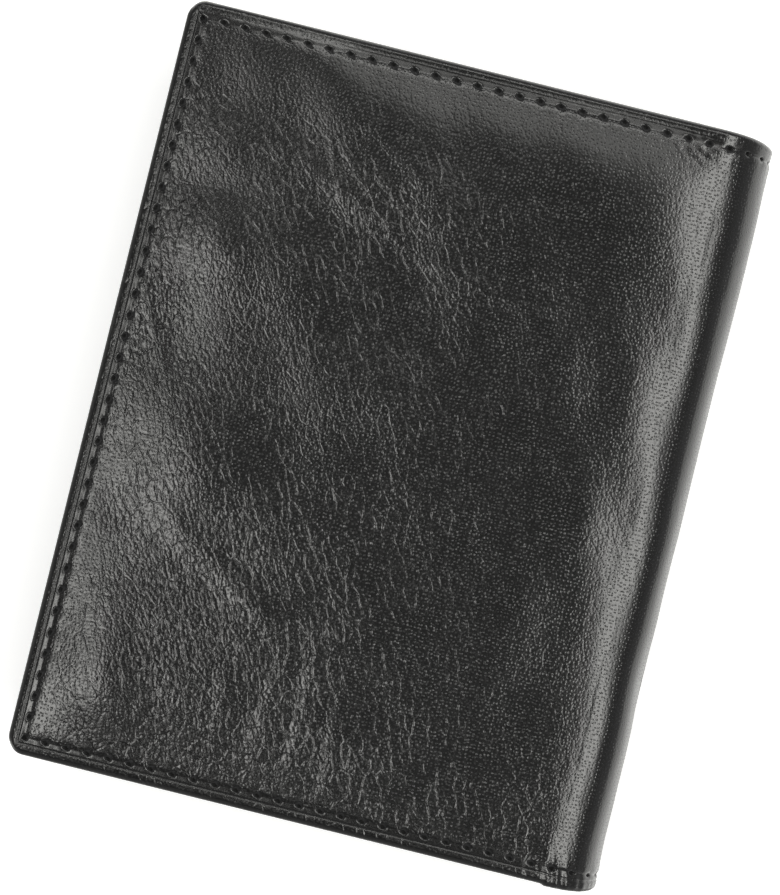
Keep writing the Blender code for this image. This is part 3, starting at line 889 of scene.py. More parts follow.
@dataclass
class OuterLeather:
    """The wallet's outer leather: two covers and the spine between them, as one sheet."""

    net: CoverNet = CoverNet()
    spine_steps: int = 24
    face_every: int = 2
    inner_every: int = 4
    end_round: float = 0.45
    tail_foot: float = 0.28

    def cover(self, which: Cover) -> CutSheet:
        """One cover's leather, with its hem.

        Args:
            which: the cover.

        Returns:
            The part, with one loop: the section at its border with the spine.
        """
        surface = Surface()
        net, section, every = self.net, self.net.section, self.inner_every
        turned = which is Cover.BACK

        def lay(out: Array, along: Array, depth: Array | float) -> Array:
            """Add points given by their distance out from the fold line.

            Args:
                out: distances out from the fold line.
                along: places along the sheet.
                depth: how deep in the leather the points lie.

            Returns:
                The points' numbers.
            """
            u = -out if turned else FORM.turn + out
            depth = np.broadcast_to(depth, np.shape(out))
            pressed = FORM.pressed_strip(u, along) * (depth < section.edge_thickness / 2)
            return surface.add_points(FORM.place(u, along, depth), np.stack([u, along], axis=-1), pressed)

        def lay_rings(rows: Array, square: float, step: int) -> Array:
            """Add a ring of points for each row of inset and depth."""
            rings = np.stack([net.ring(inset, square)[::step] for inset in rows[:, 0]])
            return lay(rings[..., 0], rings[..., 1], np.repeat(rows[:, 1:], rings.shape[1], axis=1))

        fine = lay_rings(section.fine(), section.face_inset, 1)
        surface.add_grid(fine, flip=not turned)
        face = lay(*net.field(section.field_inset, self.face_every), 0.0)
        surface.add_grid(face, flip=turned)
        surface.add_step_down(fine[0], field_ring(face), flip=not turned)
        coarse = lay_rings(section.coarse(), section.hem_end, every)
        surface.add_step_down(fine[-1], coarse[0], flip=turned)
        surface.add_grid(coarse, flip=not turned)
        inner = lay(*net.field(section.hem_end, every), section.skin)
        surface.add_grid(inner, flip=not turned)
        surface.add_grid(np.stack([coarse[-1], field_ring(inner)]), flip=not turned)
        loop = np.concatenate([
            face[::-1, 0], fine[:, 0], coarse[:, 0], inner[:, 0], coarse[::-1, -1], fine[::-1, -1],
        ])
        return CutSheet(surface, point_normals(surface.arrays()[0], surface.blocks), [loop])

    def border_section(self) -> tuple[Array, Array]:
        """The border's section: each point's place along the sheet and its depth.

        Returns:
            The points' places and their depths.
        """
        section = self.net.section
        edge = np.concatenate([section.fine(), section.coarse()])
        face = self.net.field(section.field_inset, self.face_every)[1][::-1, 0]
        inner = self.net.field(section.hem_end, self.inner_every)[1][:, 0]
        inset, depth = edge.T
        along = [face, FORM.half_height - inset, inner, inset[::-1] - FORM.half_height]
        depths = [np.zeros(len(face)), depth, np.full(len(inner), section.skin), depth[::-1]]
        return np.concatenate(along), np.concatenate(depths)

    def fold_lines(self) -> Array:
        """Where the spine's pieces meet: the borders with the covers and each strip's middle."""
        middles = FORM.turn / 4 * (np.arange(4) + 0.5)
        return np.concatenate([[-self.net.border], middles, [FORM.turn + self.net.border]])

    def spine(self, along: Array, depth: Array) -> CutSheet:
        """The spine's leather: the border's section carried round the arc.

        Its ends are drawn in round the fold, as the fourth power of a sine, and its tail end
        stands out again as a foot near the back cover.

        Args:
            along: the section's places along the sheet.
            depth: the section's depths.

        Returns:
            The part, with a loop for each fold line, from the back to the front.
        """
        lines = self.fold_lines()
        steps = [np.linspace(a, b, self.spine_steps, endpoint=False) for a, b in zip(lines, lines[1:])]
        u, v = np.meshgrid(np.concatenate([*steps, lines[-1:]]), along, indexing="ij")
        top = FORM.half_height
        pull = self.end_round * np.sin(np.clip(u / FORM.turn, 0, 1) * math.pi) ** 4
        pull = pull * smoothstep(top - 4.0, top, np.abs(v))
        foot = self.tail_foot * smoothstep(0.6, 1.6, u) * (1 - smoothstep(11.0, 15.0, u))
        foot = foot * smoothstep(3.0 - top, -top, v)
        depths = np.broadcast_to(depth, u.shape)
        points = FORM.place(u, v, depths)
        points[..., 1] += (-np.sign(v) * pull - foot) * MM
        pressed = FORM.pressed_strip(u, v) * (depths < self.net.section.edge_thickness / 2)
        surface = Surface()
        numbers = surface.add_points(points, np.stack([u, v], axis=-1), pressed)
        surface.add_grid(numbers, wrap=True)
        normals = point_normals(points.reshape(-1, 3), surface.blocks)
        return CutSheet(surface, normals, list(numbers[:: self.spine_steps]))


def closed_piece(name: str, cut: CutSheet, faces: list[Array], caps: list[Array]) -> Piece:
    """Make a piece from some of a part's faces, and close its cut ends.

    Args:
        name: the piece's name.
        cut: the part that the faces belong to.
        faces: the faces.
        caps: the loops that bound the piece, each in its own face's order.

    Returns:
        The piece.
    """
    points, flat, pressed = cut.surface.arrays()
    faces = [*faces, *(cap[None, :] for cap in caps)]
    used, renumbered = np.unique(np.concatenate([f.ravel() for f in faces]), return_inverse=True)
    parts = np.split(renumbered.ravel(), np.cumsum([f.size for f in faces])[:-1])
    local = [part.reshape(face.shape) for part, face in zip(parts, faces)]
    return build_object(name, points[used], local, flat[used], pressed[used], cut.normals[used])


def make_outer_leather(leather: OuterLeather) -> dict[str, Piece]:
    """Build the covers and the spine's pieces, with shading that runs on over their borders.

    Args:
        leather: the leather's sizes.

    Returns:
        The pieces by name.
    """
    back, front = leather.cover(Cover.BACK), leather.cover(Cover.FRONT)
    spine = leather.spine(*leather.border_section())
    for cover, loop in ((back, spine.loops[0]), (front, spine.loops[-1])):
        border = cover.loops[0]
        cover.normals[border] = spine.normals[loop] = cover.normals[border] + spine.normals[loop]
    pieces = {}
    for cut, cap, name in (
        (back, back.loops[0][::-1], "back_cover_leather"),
        (front, front.loops[0], "front_cover_leather"),
    ):
        pieces[name] = closed_piece(name, cut, cut.surface.blocks, [cap])
    quads = spine.surface.blocks[0].reshape(len(spine.loops) - 1, -1, 4)
    for number, block in enumerate(quads):
        name = f"spine_leather_bend_{number + 1}"
        caps = [spine.loops[number], spine.loops[number + 1][::-1]]
        pieces[name] = closed_piece(name, spine, [block], caps)
    return pieces


def linear(colour: str) -> tuple[float, float, float, float]:
    """Turn an sRGB hex colour into the linear values that Blender's sockets take."""
    values = [int(colour[i : i + 2], 16) / 255 for i in (1, 3, 5)]
    red, green, blue = (v / 12.92 if v <= 0.04045 else ((v + 0.055) / 1.055) ** 2.4 for v in values)
    return red, green, blue, 1.0


@dataclass(frozen=True)
class NodeTree:
    """The nodes of a material or of the surroundings, in the making."""

    tree: bpy.types.NodeTree

    def link(self, node: bpy.types.Node, inputs: dict) -> None:
        """Set a node's inputs to values, or link them to sockets, by their name or number.

        Args:
            node: the node.
            inputs: values, or sockets to link, by the input's name or number.
        """
        for key, value in inputs.items():
            if isinstance(value, Socket):
                self.tree.links.new(value, node.inputs[key])
            else:
                node.inputs[key].default_value = value

    def add(self, kind: str, inputs: dict | None = None, **settings) -> bpy.types.Node:
        """Add a node.

        Args:
            kind: the node's type.
            inputs: values, or sockets to link, by the input's name or number.
            settings: the node's own properties.

        Returns:
            The node.
        """
        node = self.tree.nodes.new(kind)
        for name, value in settings.items():
            setattr(node, name, value)
        self.link(node, inputs or {})
        return node

    def math(self, operation: str, *values: Socket | float) -> Socket:
        """A math node's result."""
        return self.add("ShaderNodeMath", dict(enumerate(values)), operation=operation).outputs[0]

    def attribute(self, name: str) -> Socket:
        """A value that the mesh carries at its points."""
        return self.add("ShaderNodeAttribute", attribute_name=name).outputs["Fac"]

    def mix(self, share: Socket, first: Socket | tuple, second: Socket | tuple) -> Socket:
        """Two colours mixed by the second one's share."""
        inputs = {"Factor": share, 6: first, 7: second}
        return self.add("ShaderNodeMix", inputs, data_type="RGBA").outputs[2]

    def sheet_place(self, stretch: Point = (1.0, 1.0), turn: float = 0.0) -> Socket:
        """The place on the flat sheet in millimetres, turned by degrees and stretched."""
        uv = self.add("ShaderNodeUVMap", uv_map=UV_NAME).outputs["UV"]
        inputs = {"Vector": uv, "Rotation": (0, 0, math.radians(turn)), "Scale": (*stretch, 1.0)}
        return self.add("ShaderNodeMapping", inputs, vector_type="TEXTURE").outputs[0]

    def warped(self, place: Socket, size: float, amount: float) -> Socket:
        """A place moved about by a soft noise, so that a pattern on it isn't regular."""
        noise = self.add("ShaderNodeTexNoise", {"Vector": place, "Scale": 1 / size, "Detail": 2.0})
        inputs = {0: noise.outputs["Color"], 1: (amount, amount, 0.0), 2: place}
        return self.add("ShaderNodeVectorMath", inputs, operation="MULTIPLY_ADD").outputs[0]

    def noise(self, place: Socket, size: float, detail: float = 2.0) -> Socket:
        """A noise between 0 and 1 with lumps of a given size in millimetres."""
        inputs = {"Vector": place, "Scale": 1 / size, "Detail": detail}
        return self.add("ShaderNodeTexNoise", inputs).outputs["Fac"]

    def cells(self, place: Socket, size: float, feature: str, **inputs: float) -> Socket:
        """The distance within random cells of a given size in millimetres, as a share of it."""
        inputs = {"Vector": place, "Scale": 1 / size, **inputs}
        node = self.add("ShaderNodeTexVoronoi", inputs, feature=feature, voronoi_dimensions="2D")
        return node.outputs["Distance"]

    def range(self, value: Socket, low: Socket | float, high: Socket | float,
              start: Socket | float = 0.0, end: Socket | float = 1.0) -> Socket:
        """A value carried smoothly from low and high to start and end."""
        inputs = {"Value": value, "From Min": low, "From Max": high, "To Min": start, "To Max": end}
        node = self.add("ShaderNodeMapRange", inputs, interpolation_type="SMOOTHSTEP")
        return node.outputs["Result"]

    def bump(self, height: Socket) -> Socket:
        """The normal of a surface with a height in millimetres."""
        inputs = {"Height": height, "Distance": MM, "Strength": 1.0}
        return self.add("ShaderNodeBump", inputs).outputs["Normal"]


class Finish:
    """A finish: each kind says what its shader takes, and this makes a material of it."""

    def shader(self, tree: NodeTree) -> dict:
        """The values and sockets of the shader's inputs, by name."""
        raise NotImplementedError

    def material(self, name: str) -> Material:
        """Make the material.

        Args:
            name: the material's name.

        Returns:
            The material.
        """
        material = bpy.data.materials.new(name)
        material.use_nodes = True
        material.node_tree.nodes.clear()
        tree = NodeTree(material.node_tree)
        shader = tree.add("ShaderNodeBsdfPrincipled", self.shader(tree))
        tree.add("ShaderNodeOutputMaterial", {"Surface": shader.outputs[0]})
        return material


@dataclass(frozen=True)
class GlazedLeather(Finish):
    """Full-grain cowhide, drum-dyed black, plated smooth and glazed; its pores and creases show."""

    colour: str = "#0e0e0e"
    worn: str = "#181817"
    # Painted shade: the darker colour given to the stitch holes and the turned edge.
    fibre: str = "#060606"
    pore_spacing: float = 0.62
    pore_depth: float = 0.021
    pebble_size: float = 0.66
    pebble_stretch: float = 1.6
    pebble_depth: float = 0.058
    crease_spacing: float = 1.7
    crease_stretch: float = 1.7
    crease_width: float = 0.13
    crease_turn: float = 27.0
    crease_depth: float = 0.035
    tooth_size: float = 0.25
    tooth_depth: float = 0.003
    pressing: float = 0.88
    smooth_roughness: float = 0.23
    rough_roughness: float = 0.34
    torn_roughness: float = 0.55
    coat: float = 0.8
    coat_roughness: float = 0.20

    def shader(self, tree: NodeTree) -> dict:
        """Pores, pebbles that swell between creases, changes of gloss, and holes and an edge that are dull
        and painted darker as shade.

        Args:
            tree: the material's nodes.

        Returns:
            The shader's inputs by name.
        """
        patches = tree.range(tree.noise(tree.sheet_place(), 8.0), 0.30, 0.60, 0.35, 1.0)
        drawn = tree.math("MULTIPLY", tree.attribute(DRAWN_NAME), patches)
        pore = self.pores(tree, drawn)
        normal = tree.bump(self.grain(tree, drawn, pore))
        gloss = tree.math("MULTIPLY_ADD", tree.noise(tree.sheet_place(), 9.0, 4.0), 0.06, -0.03)
        roughness = tree.range(pore, 0.0, 1.0, self.smooth_roughness, self.rough_roughness)
        roughness = tree.math("ADD", roughness, gloss)
        # The stitch holes and the turned edge are rough and without coat, and their colour is painted
        # darker as shade.
        dull_shade = tree.range(tree.attribute(DULL_SHADE_NAME), 0.3, 0.8)
        wear = tree.math("MULTIPLY", tree.noise(tree.sheet_place(), 6.0, 5.0), 0.5)
        tint = tree.mix(wear, linear(self.colour), linear(self.worn))
        return {
            "Base Color": tree.mix(dull_shade, tint, linear(self.fibre)),
            "Roughness": tree.math("MULTIPLY_ADD", dull_shade, self.torn_roughness, roughness),
            "Normal": normal,
            "Coat Weight": tree.math("MULTIPLY", tree.math("SUBTRACT", 1.0, dull_shade), self.coat),
            "Coat Roughness": self.coat_roughness,
            "Coat Normal": normal,
            "IOR": 1.5,
        }

    def pores(self, tree: NodeTree, drawn: Socket) -> Socket:
        """The hide's pores, which widen where it is drawn: 1 in a pore's middle and 0 outside.

        Args:
            tree: the material's nodes.
            drawn: how far the leather is drawn into creases.

        Returns:
            How deep in a pore each point lies.
        """
        place = tree.warped(tree.sheet_place(), 2.1, 0.45)
        distance = tree.cells(place, self.pore_spacing, "F1", Randomness=0.6)
        reach = tree.math("MULTIPLY_ADD", drawn, 0.12, 0.36)
        size = tree.range(tree.noise(tree.sheet_place(), 3.0), 0.30, 0.70, 0.75, 1.2)
        return tree.math("MULTIPLY", tree.range(distance, 0.02, reach, 1.0, 0.0), size)

    def pebbles(self, tree: NodeTree) -> Socket:
        """How far down a pebble's side each point lies, from 0 at its top to about 0.6 between two.

        Args:
            tree: the material's nodes.

        Returns:
            The softened distance from the nearest pebble's middle, in pebbles, to the power 1.5.
        """
        place = tree.sheet_place((1.0, self.pebble_stretch), self.crease_turn)
        place = tree.warped(place, 3.2, 1.1)
        side = tree.cells(place, self.pebble_size, "SMOOTH_F1", Randomness=0.9, Smoothness=0.22)
        return tree.math("POWER", side, 1.5)

    def creases(self, tree: NodeTree) -> Socket:
        """A net of creases drawn out one way: 1 in a crease and 0 between creases.

        Args:
            tree: the material's nodes.

        Returns:
            How deep in a crease each point lies.
        """
        size = self.crease_spacing
        place = tree.sheet_place((1.0, self.crease_stretch), self.crease_turn)
        place = tree.warped(place, size * 1.3, size * 0.9)
        distance = tree.cells(place, size, "DISTANCE_TO_EDGE", Randomness=1.0)
        return tree.range(distance, 0.0, self.crease_width, 1.0, 0.0)

    def grain(self, tree: NodeTree, drawn: Socket, pore: Socket) -> Socket:
        """The grain's height: creases, pebbles, pores and a fine tooth, less where it is pressed.

        Args:
            tree: the material's nodes.
            drawn: how far the leather is drawn into creases.
            pore: the pores.

        Returns:
            The height in millimetres.
        """
        crease = tree.math("MULTIPLY", self.creases(tree), drawn)
        height = tree.math("MULTIPLY", crease, -self.crease_depth)
        swell = tree.math("MULTIPLY_ADD", drawn, 0.85, 0.15)
        pebble = tree.math("MULTIPLY", self.pebbles(tree), swell)
        height = tree.math("MULTIPLY_ADD", pebble, -self.pebble_depth, height)
        pit = tree.math("MULTIPLY", pore, tree.math("MULTIPLY_ADD", drawn, -0.45, 1.0))
        height = tree.math("MULTIPLY_ADD", pit, -self.pore_depth, height)
        tooth = tree.noise(tree.sheet_place(), self.tooth_size)
        height = tree.math("MULTIPLY_ADD", tooth, self.tooth_depth, height)
        pressed = tree.math("MULTIPLY", tree.attribute(SMOOTH_NAME), self.pressing)
        return tree.math("MULTIPLY", height, tree.math("SUBTRACT", 1.0, pressed))


@dataclass(frozen=True)
class WaxedThread(Finish):
    """Bonded polyester sewing thread in three plies, dyed black and waxed."""

    colour: str = "#101010"
    lay: float = 0.9
    ridge_height: float = 0.05

    def shader(self, tree: NodeTree) -> dict:
        """The plies' slanting ridges along each stitch, as the size of a sine.

        Args:
            tree: the material's nodes.

        Returns:
            The shader's inputs by name.
        """
        place = tree.add("ShaderNodeUVMap", uv_map=UV_NAME).outputs["UV"]
        parts = tree.add("ShaderNodeSeparateXYZ", {0: place}).outputs
        slant = tree.math("MULTIPLY_ADD", parts["Y"], 1.0 / self.lay, parts["X"])
        ridge = tree.math("ABSOLUTE", tree.math("SINE", tree.math("MULTIPLY", slant, math.pi)))
        return {
            "Base Color": linear(self.colour),
            "Roughness": 0.55,
            "Normal": tree.bump(tree.math("MULTIPLY", ridge, self.ridge_height)),
            "Specular IOR Level": 0.35,
        }


@dataclass(frozen=True)
class FloorPaint(Finish):
    """A plain pale studio floor, sprayed matt."""

    colour: str = "#f7f7f6"
    seen_light: float = 0.40

    def shader(self, tree: NodeTree) -> dict:
        """Nearly white, with a very soft mottle, and lighter to the camera alone.

        Args:
            tree: the material's nodes.

        Returns:
            The shader's inputs by name.
        """
        place = tree.add("ShaderNodeTexCoord").outputs["Object"]
        mottle = tree.add("ShaderNodeTexNoise", {"Vector": place, "Scale": 3.0}).outputs["Fac"]
        seen = tree.add("ShaderNodeLightPath").outputs["Is Camera Ray"]
        return {
            "Base Color": linear(self.colour),
            "Emission Color": WHITE,
            "Emission Strength": tree.math("MULTIPLY", seen, self.seen_light),
            "Roughness": tree.range(mottle, 0.0, 1.0, 0.75, 0.85),
            "Specular IOR Level": 0.1,
        }


@dataclass(frozen=True)
class StitchForm:
    """One stitch of the seam, in millimetres."""

    radius: float = 0.19
    rings: int = 7
    sides: int = 8
    plies: int = 3
    hole_share: float = 0.09
    hole_squeeze: float = 0.25
    hole_depth: float = 0.70
    top_depth: float = 0.34
    slant: float = 0.10

    def tubes(self, starts: Array, ends: Array, lay: Callable[..., Array]) -> tuple[Array, Array]:
        """Sweep every stitch from its first hole to its last.

        The thread's middle line dips into both holes as the sixth power of its way from the
        stitch's middle, and lies a little aslant, as a lockstitch does.

        Args:
            starts: the first hole of each stitch on the flat sheet.
            ends: the last hole of each stitch on the flat sheet.
            lay: turns places across, along and deep into positions.

        Returns:
            Positions in metres and UV places, by stitch, ring and side.
        """
        margin = self.hole_share / 2
        share = np.linspace(margin, 1 - margin, self.rings)[None, :, None]
        angle = np.linspace(0, TAU, self.sides, endpoint=False)[None, None, :]
        way = (ends - starts)[:, None, None, :]
        length = np.linalg.norm(way, axis=-1, keepdims=True)
        aside = np.concatenate([-way[..., 1:], way[..., :1]], axis=-1) / length
        centre = starts[:, None, None, :] + way * share[..., None]
        centre = centre + aside * (self.slant * (2 * share[..., None] - 1))
        dip = (np.abs(2 * share - 1)) ** 6
        thin = self.radius * (1 - self.hole_squeeze * dip)
        place = centre + aside * (thin * np.cos(angle))[..., None]
        middle = self.top_depth + self.radius + (self.hole_depth - self.top_depth) * dip
        depth = np.broadcast_to(middle - thin * np.sin(angle), place.shape[:-1])
        run = np.broadcast_to(share * length[..., 0], depth.shape)
        turn = np.broadcast_to(angle / TAU * self.plies, depth.shape)
        return lay(place[..., 0], place[..., 1], depth), np.stack([turn, run], axis=-1)

    def build(self, name: str, starts: Array, ends: Array, lay: Callable[..., Array],
              flip: bool) -> Piece:
        """Build stitches as one object of closed tubes.

        Args:
            name: the object's name.
            starts: the first hole of each stitch on the flat sheet.
            ends: the last hole of each stitch on the flat sheet.
            lay: turns places across, along and deep into positions.
            flip: turn the faces round.

        Returns:
            The stitches.
        """
        surface = Surface()
        numbers = surface.add_points(*self.tubes(starts, ends, lay))
        surface.add_grid(numbers, flip=flip, wrap=True)
        for caps in (numbers[:, 0, :], numbers[:, -1, ::-1]):
            surface.blocks.append(caps[:, ::-1] if flip else caps)
        return surface.build(name)


def seam_holes() -> tuple[Array, Array, Array]:
    """Where the seam's stitches start and end on the flat sheet.

    Returns:
        The starts, the ends, and each stitch's middle across the sheet.
    """
    out = FORM.free_length - FORM.seam_inset
    top = FORM.half_height - FORM.seam_inset
    across = np.linspace(-out, FORM.turn + out, round((2 * out + FORM.turn) / FORM.pitch) + 1)
    column = np.linspace(-top, top, round(2 * top / FORM.pitch) + 1)
    seams = [np.stack([across, np.full(len(across), v)], axis=1) for v in (top, -top)]
    seams += [np.stack([np.full(len(column), u), column], axis=1) for u in (-out, FORM.turn + out)]
    starts = np.concatenate([seam[:-1] for seam in seams])
    ends = np.concatenate([seam[1:] for seam in seams])
    return starts, ends, (starts[:, 0] + ends[:, 0]) / 2


def bent_strips(kind: str, number: int) -> list[str]:
    """The one or two rigid strips that a bend of the spine stands for.

    Args:
        kind: the strips' name without their number.
        number: the bend's number, counted from 0 at the back cover.

    Returns:
        The strips' full names.
    """
    strips = [f"{kind}_{strip}" for strip in (4, 3, 2, 1)]
    return strips[max(number - 1, 0) : number + 1]


def dress(piece: Piece, slot: str, material: Material, *nodes: str, body: str | None = None) -> None:
    """Give a piece its finish and tie it to the frame.

    Args:
        piece: the piece.
        slot: not used.
        material: its finish.
        nodes: the frame's nodes that it stands for.
        body: the body that it rides on, if it doesn't bend.
    """
    piece.data.materials.append(material)
    if body:
        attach(piece, body)
    if nodes:
        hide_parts(*nodes)
    LOG.info("%s: %d faces", piece.name, len(piece.data.polygons))


@dataclass
class OuterShell:
    """The outer leather and its seam, dressed; the covers and their stitches are tied to their bodies."""

    leather: OuterLeather = field(default_factory=OuterLeather)
    finish: GlazedLeather = GlazedLeather()
    thread: WaxedThread = WaxedThread()
    stitch: StitchForm = StitchForm()
    bend_depth: float = 2.6

    def bend(self, piece: Piece, number: int) -> None:
        """Bake a piece's place into its mesh, and work out a fold line of the spine, which is not used.

        The fold line's ends are measured at the depth of the innermost ply, where it is shortest; no bend
        is set up.

        Args:
            piece: the piece.
            number: the fold's number, counted from the back cover.
        """
        lines = self.leather.fold_lines()
        start, end = (
            tuple(FORM.place(np.array([line]), np.zeros(1), self.bend_depth, plain=True)[0])
            for line in lines[number : number + 2]
        )
        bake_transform(piece)

    def make(self) -> None:
        """Build and dress everything, and tie the covers and their stitches to their bodies."""
        leather = self.finish.material("glazed_black_leather")
        thread = self.thread.material("waxed_black_thread")
        pieces = make_outer_leather(self.leather)
        starts, ends, middles = seam_holes()
        lines = self.leather.fold_lines()
        group = np.searchsorted(lines, middles)

        def sew(name: str, number: int) -> Piece:
            """Build one group of stitches, over the leather without the seam's own relief."""
            chosen = group == number
            lay = partial(FORM.place, seam=False)
            return self.stitch.build(name, starts[chosen], ends[chosen], lay, True)

        for cover, number in ((Cover.BACK, 0), (Cover.FRONT, len(lines))):
            half, body = cover.value, cover.body
            piece = pieces[f"{half}_cover_leather"]
            dress(piece, "cover_leather", leather, f"{half}_cover", body=body)
            piece = sew(f"{half}_cover_stitches", number)
            dress(piece, "seam_thread", thread, f"{half}_seam_thread", body=body)
        for number in range(len(lines) - 1):
            piece = pieces[f"spine_leather_bend_{number + 1}"]
            self.bend(piece, number)
            dress(piece, "cover_leather", leather, *bent_strips("spine_leather", number))
            piece = sew(f"spine_stitches_{number + 1}", number + 1)
            self.bend(piece, number)
            dress(piece, "seam_thread", thread)


@dataclass(frozen=True)
class Twill(Finish):
    """Polyester twill, dyed black.

    The real ribs are about 0.5 mm apart. They are drawn at 1.3 mm, so that they show in a view of
    the open wallet.
    """

    colour: str = "#141416"
    # The colour towards which the ribs' crests lighten.
    rib_crest_colour: str = "#2b2b30"
    rib: float = 1.3
    rib_height: float = 0.035
    yarn: float = 0.65
    yarn_height: float = 0.014

    def shader(self, tree: NodeTree) -> dict:
        """Slanting ribs over upright yarns, both sines, and a soft sheen.

        Args:
            tree: the material's nodes.

        Returns:
            The shader's inputs by name.
        """
        place = tree.warped(tree.sheet_place(), 14.0, 0.5)
        parts = tree.add("ShaderNodeSeparateXYZ", {0: place}).outputs
        diagonal = tree.math("ADD", parts["X"], parts["Y"])
        rib = tree.math("SINE", tree.math("MULTIPLY", diagonal, TAU / self.rib))
        yarn = tree.math("SINE", tree.math("MULTIPLY", parts["X"], TAU / self.yarn))
        ribs = tree.math("MULTIPLY", rib, self.rib_height)
        # The colour lightens towards the ribs' crests, in step with their bump.
        share = tree.range(rib, -1.0, 1.0, 0.0, 0.8)
        return {
            "Base Color": tree.mix(share, linear(self.colour), linear(self.rib_crest_colour)),
            "Roughness": tree.range(tree.noise(tree.sheet_place(), 7.0), 0.3, 0.7, 0.62, 0.74),
            "Normal": tree.bump(tree.math("MULTIPLY_ADD", yarn, self.yarn_height, ribs)),
            "Sheen Weight": 0.25,
        }


@dataclass(frozen=True)
class GreyBoard(Finish):
    """Pressed board of waste paper, raw, as a stiffener inside the cover."""

    colour: str = "#857a6b"
    fibre: str = "#6a6155"
    fibre_scale: tuple[float, float, float] = (900.0, 260.0, 900.0)

    def shader(self, tree: NodeTree) -> dict:
        """Long and short fibres pressed flat: a noise drawn out along the board.

        Args:
            tree: the material's nodes.

        Returns:
            The shader's inputs by name.
        """
        place = tree.add("ShaderNodeTexCoord").outputs["Object"]
        drawn_out = tree.add("ShaderNodeVectorMath", {0: place, 1: self.fibre_scale}, operation="MULTIPLY")
        inputs = {"Vector": drawn_out.outputs[0], "Detail": 6.0}
        fibres = tree.add("ShaderNodeTexNoise", inputs).outputs["Fac"]
        return {
            "Base Color": tree.mix(fibres, linear(self.colour), linear(self.fibre)),
            "Roughness": tree.range(fibres, 0.3, 0.7, 0.8, 0.95),
            "Normal": tree.bump(tree.math("MULTIPLY", fibres, 0.05)),
        }


@dataclass(frozen=True)
class ClearFilm(Finish):
    """Calendered clear vinyl, which keeps slight waves and fine handling marks."""

    colour: str = "#f4f6f6"
    clearness: float = 0.94

    def shader(self, tree: NodeTree) -> dict:
        """Clear and glossy, with faint waves and drawn-out marks.

        Args:
            tree: the material's nodes.

        Returns:
            The shader's inputs by name.
        """
        waves = tree.noise(tree.sheet_place(), 9.0, 1.0)
        marks = tree.noise(tree.sheet_place((0.3, 4.0)), 1.0, 4.0)
        return {
            "Base Color": linear(self.colour),
            "Roughness": tree.range(marks, 0.45, 0.75, 0.03, 0.10),
            "Normal": tree.bump(tree.math("MULTIPLY", waves, 0.10)),
            "Transmission Weight": self.clearness,
            "IOR": 1.5,
        }


@dataclass(frozen=True)
class RoundedOutline:
    """A rectangle with rounded corners that is walked round in fixed steps, in millimetres.

    The walk starts at the corner of high x and low y and goes round towards +Y.
    """

    low: tuple[float, float]
    high: tuple[float, float]
    low_radius: float
    high_radius: float
    steps: tuple[int, int]
    corner_steps: int = 8

    def ring(self, inset: float) -> Array:
        """The outline moved inwards, or outwards for an inset below 0.

        Args:
            inset: how far inwards, in millimetres.

        Returns:
            Points in x and y: a quarter circle and a straight side for each corner in turn.
        """
        arcs = []
        for number, (hand_x, hand_y) in enumerate(((1, -1), (1, 1), (-1, 1), (-1, -1))):
            radius = max((self.high_radius if hand_x > 0 else self.low_radius) - inset, 0.2)
            corner = [
                (self.high if hand > 0 else self.low)[axis] - hand * (inset + radius)
                for axis, hand in enumerate((hand_x, hand_y))
            ]
            angle = math.pi / 2 * (number - 1 + np.linspace(0, 1, self.corner_steps + 1))
            arcs.append(np.array(corner) + radius * circle(angle))
        parts = []
        for number, arc in enumerate(arcs):
            share = np.linspace(0, 1, self.steps[1 - number % 2], endpoint=False)[:, None]
            parts += [arc[:-1], arc[-1] * (1 - share) + arcs[(number + 1) % 4][0] * share]
        return np.concatenate(parts)

    def field(self, inset: float) -> tuple[Array, Array]:
        """An even grid over the rectangle at an inset, with the walk's own number of steps.

        Args:
            inset: how far inwards, in millimetres.

        Returns:
            The x and the y of its points.
        """
        grid = (
            np.linspace(low + inset, high - inset, steps + self.corner_steps + 1)
            for low, high, steps in zip(self.low, self.high, self.steps)
        )
        return np.meshgrid(*grid)

    def field_ring(self, numbers: Array) -> Array:
        """The point numbers round a field's rim, in the walk's order."""
        rim = [numbers[:-1, -1], numbers[-1, :0:-1], numbers[:0:-1, 0], numbers[0, :-1]]
        return np.roll(np.concatenate(rim), self.corner_steps // 2)

    def inset_of(self, x: Array, y: Array) -> Array:
        """How far inside the rectangle's nearest side a point lies."""
        sides = [x - self.low[0], self.high[0] - x, y - self.low[1], self.high[1] - y]
        return np.minimum.reduce(sides)


@dataclass(frozen=True)
class PlyEdge:
    """The edge of a thin ply: a soft roll, and a line that is creased beside it with a hot iron."""

    insets: tuple[float, ...] = (2.5, 2.1, 1.9, 1.75, 1.6, 1.45, 1.3, 1.0, 0.6, 0.4)
    roll: float = 0.28
    crease_inset: float = 1.6
    crease_depth: float = 0.13
    puff: float = 0.05

    def relief(self, inset: Array) -> Array:
        """The face's height: the crease, and the edge beside it puffed up a little."""
        crease = -self.crease_depth * bell(inset - self.crease_inset, 0.2)
        return crease + self.puff * bell(inset - 0.8, 0.45)

    def turn(self) -> tuple[Array, Array]:
        """The roll as insets and heights from 1 on the first face to -1 on the other."""
        angle = np.linspace(0, math.pi, 8)
        return self.roll * (1 - np.sin(angle)), np.cos(angle)


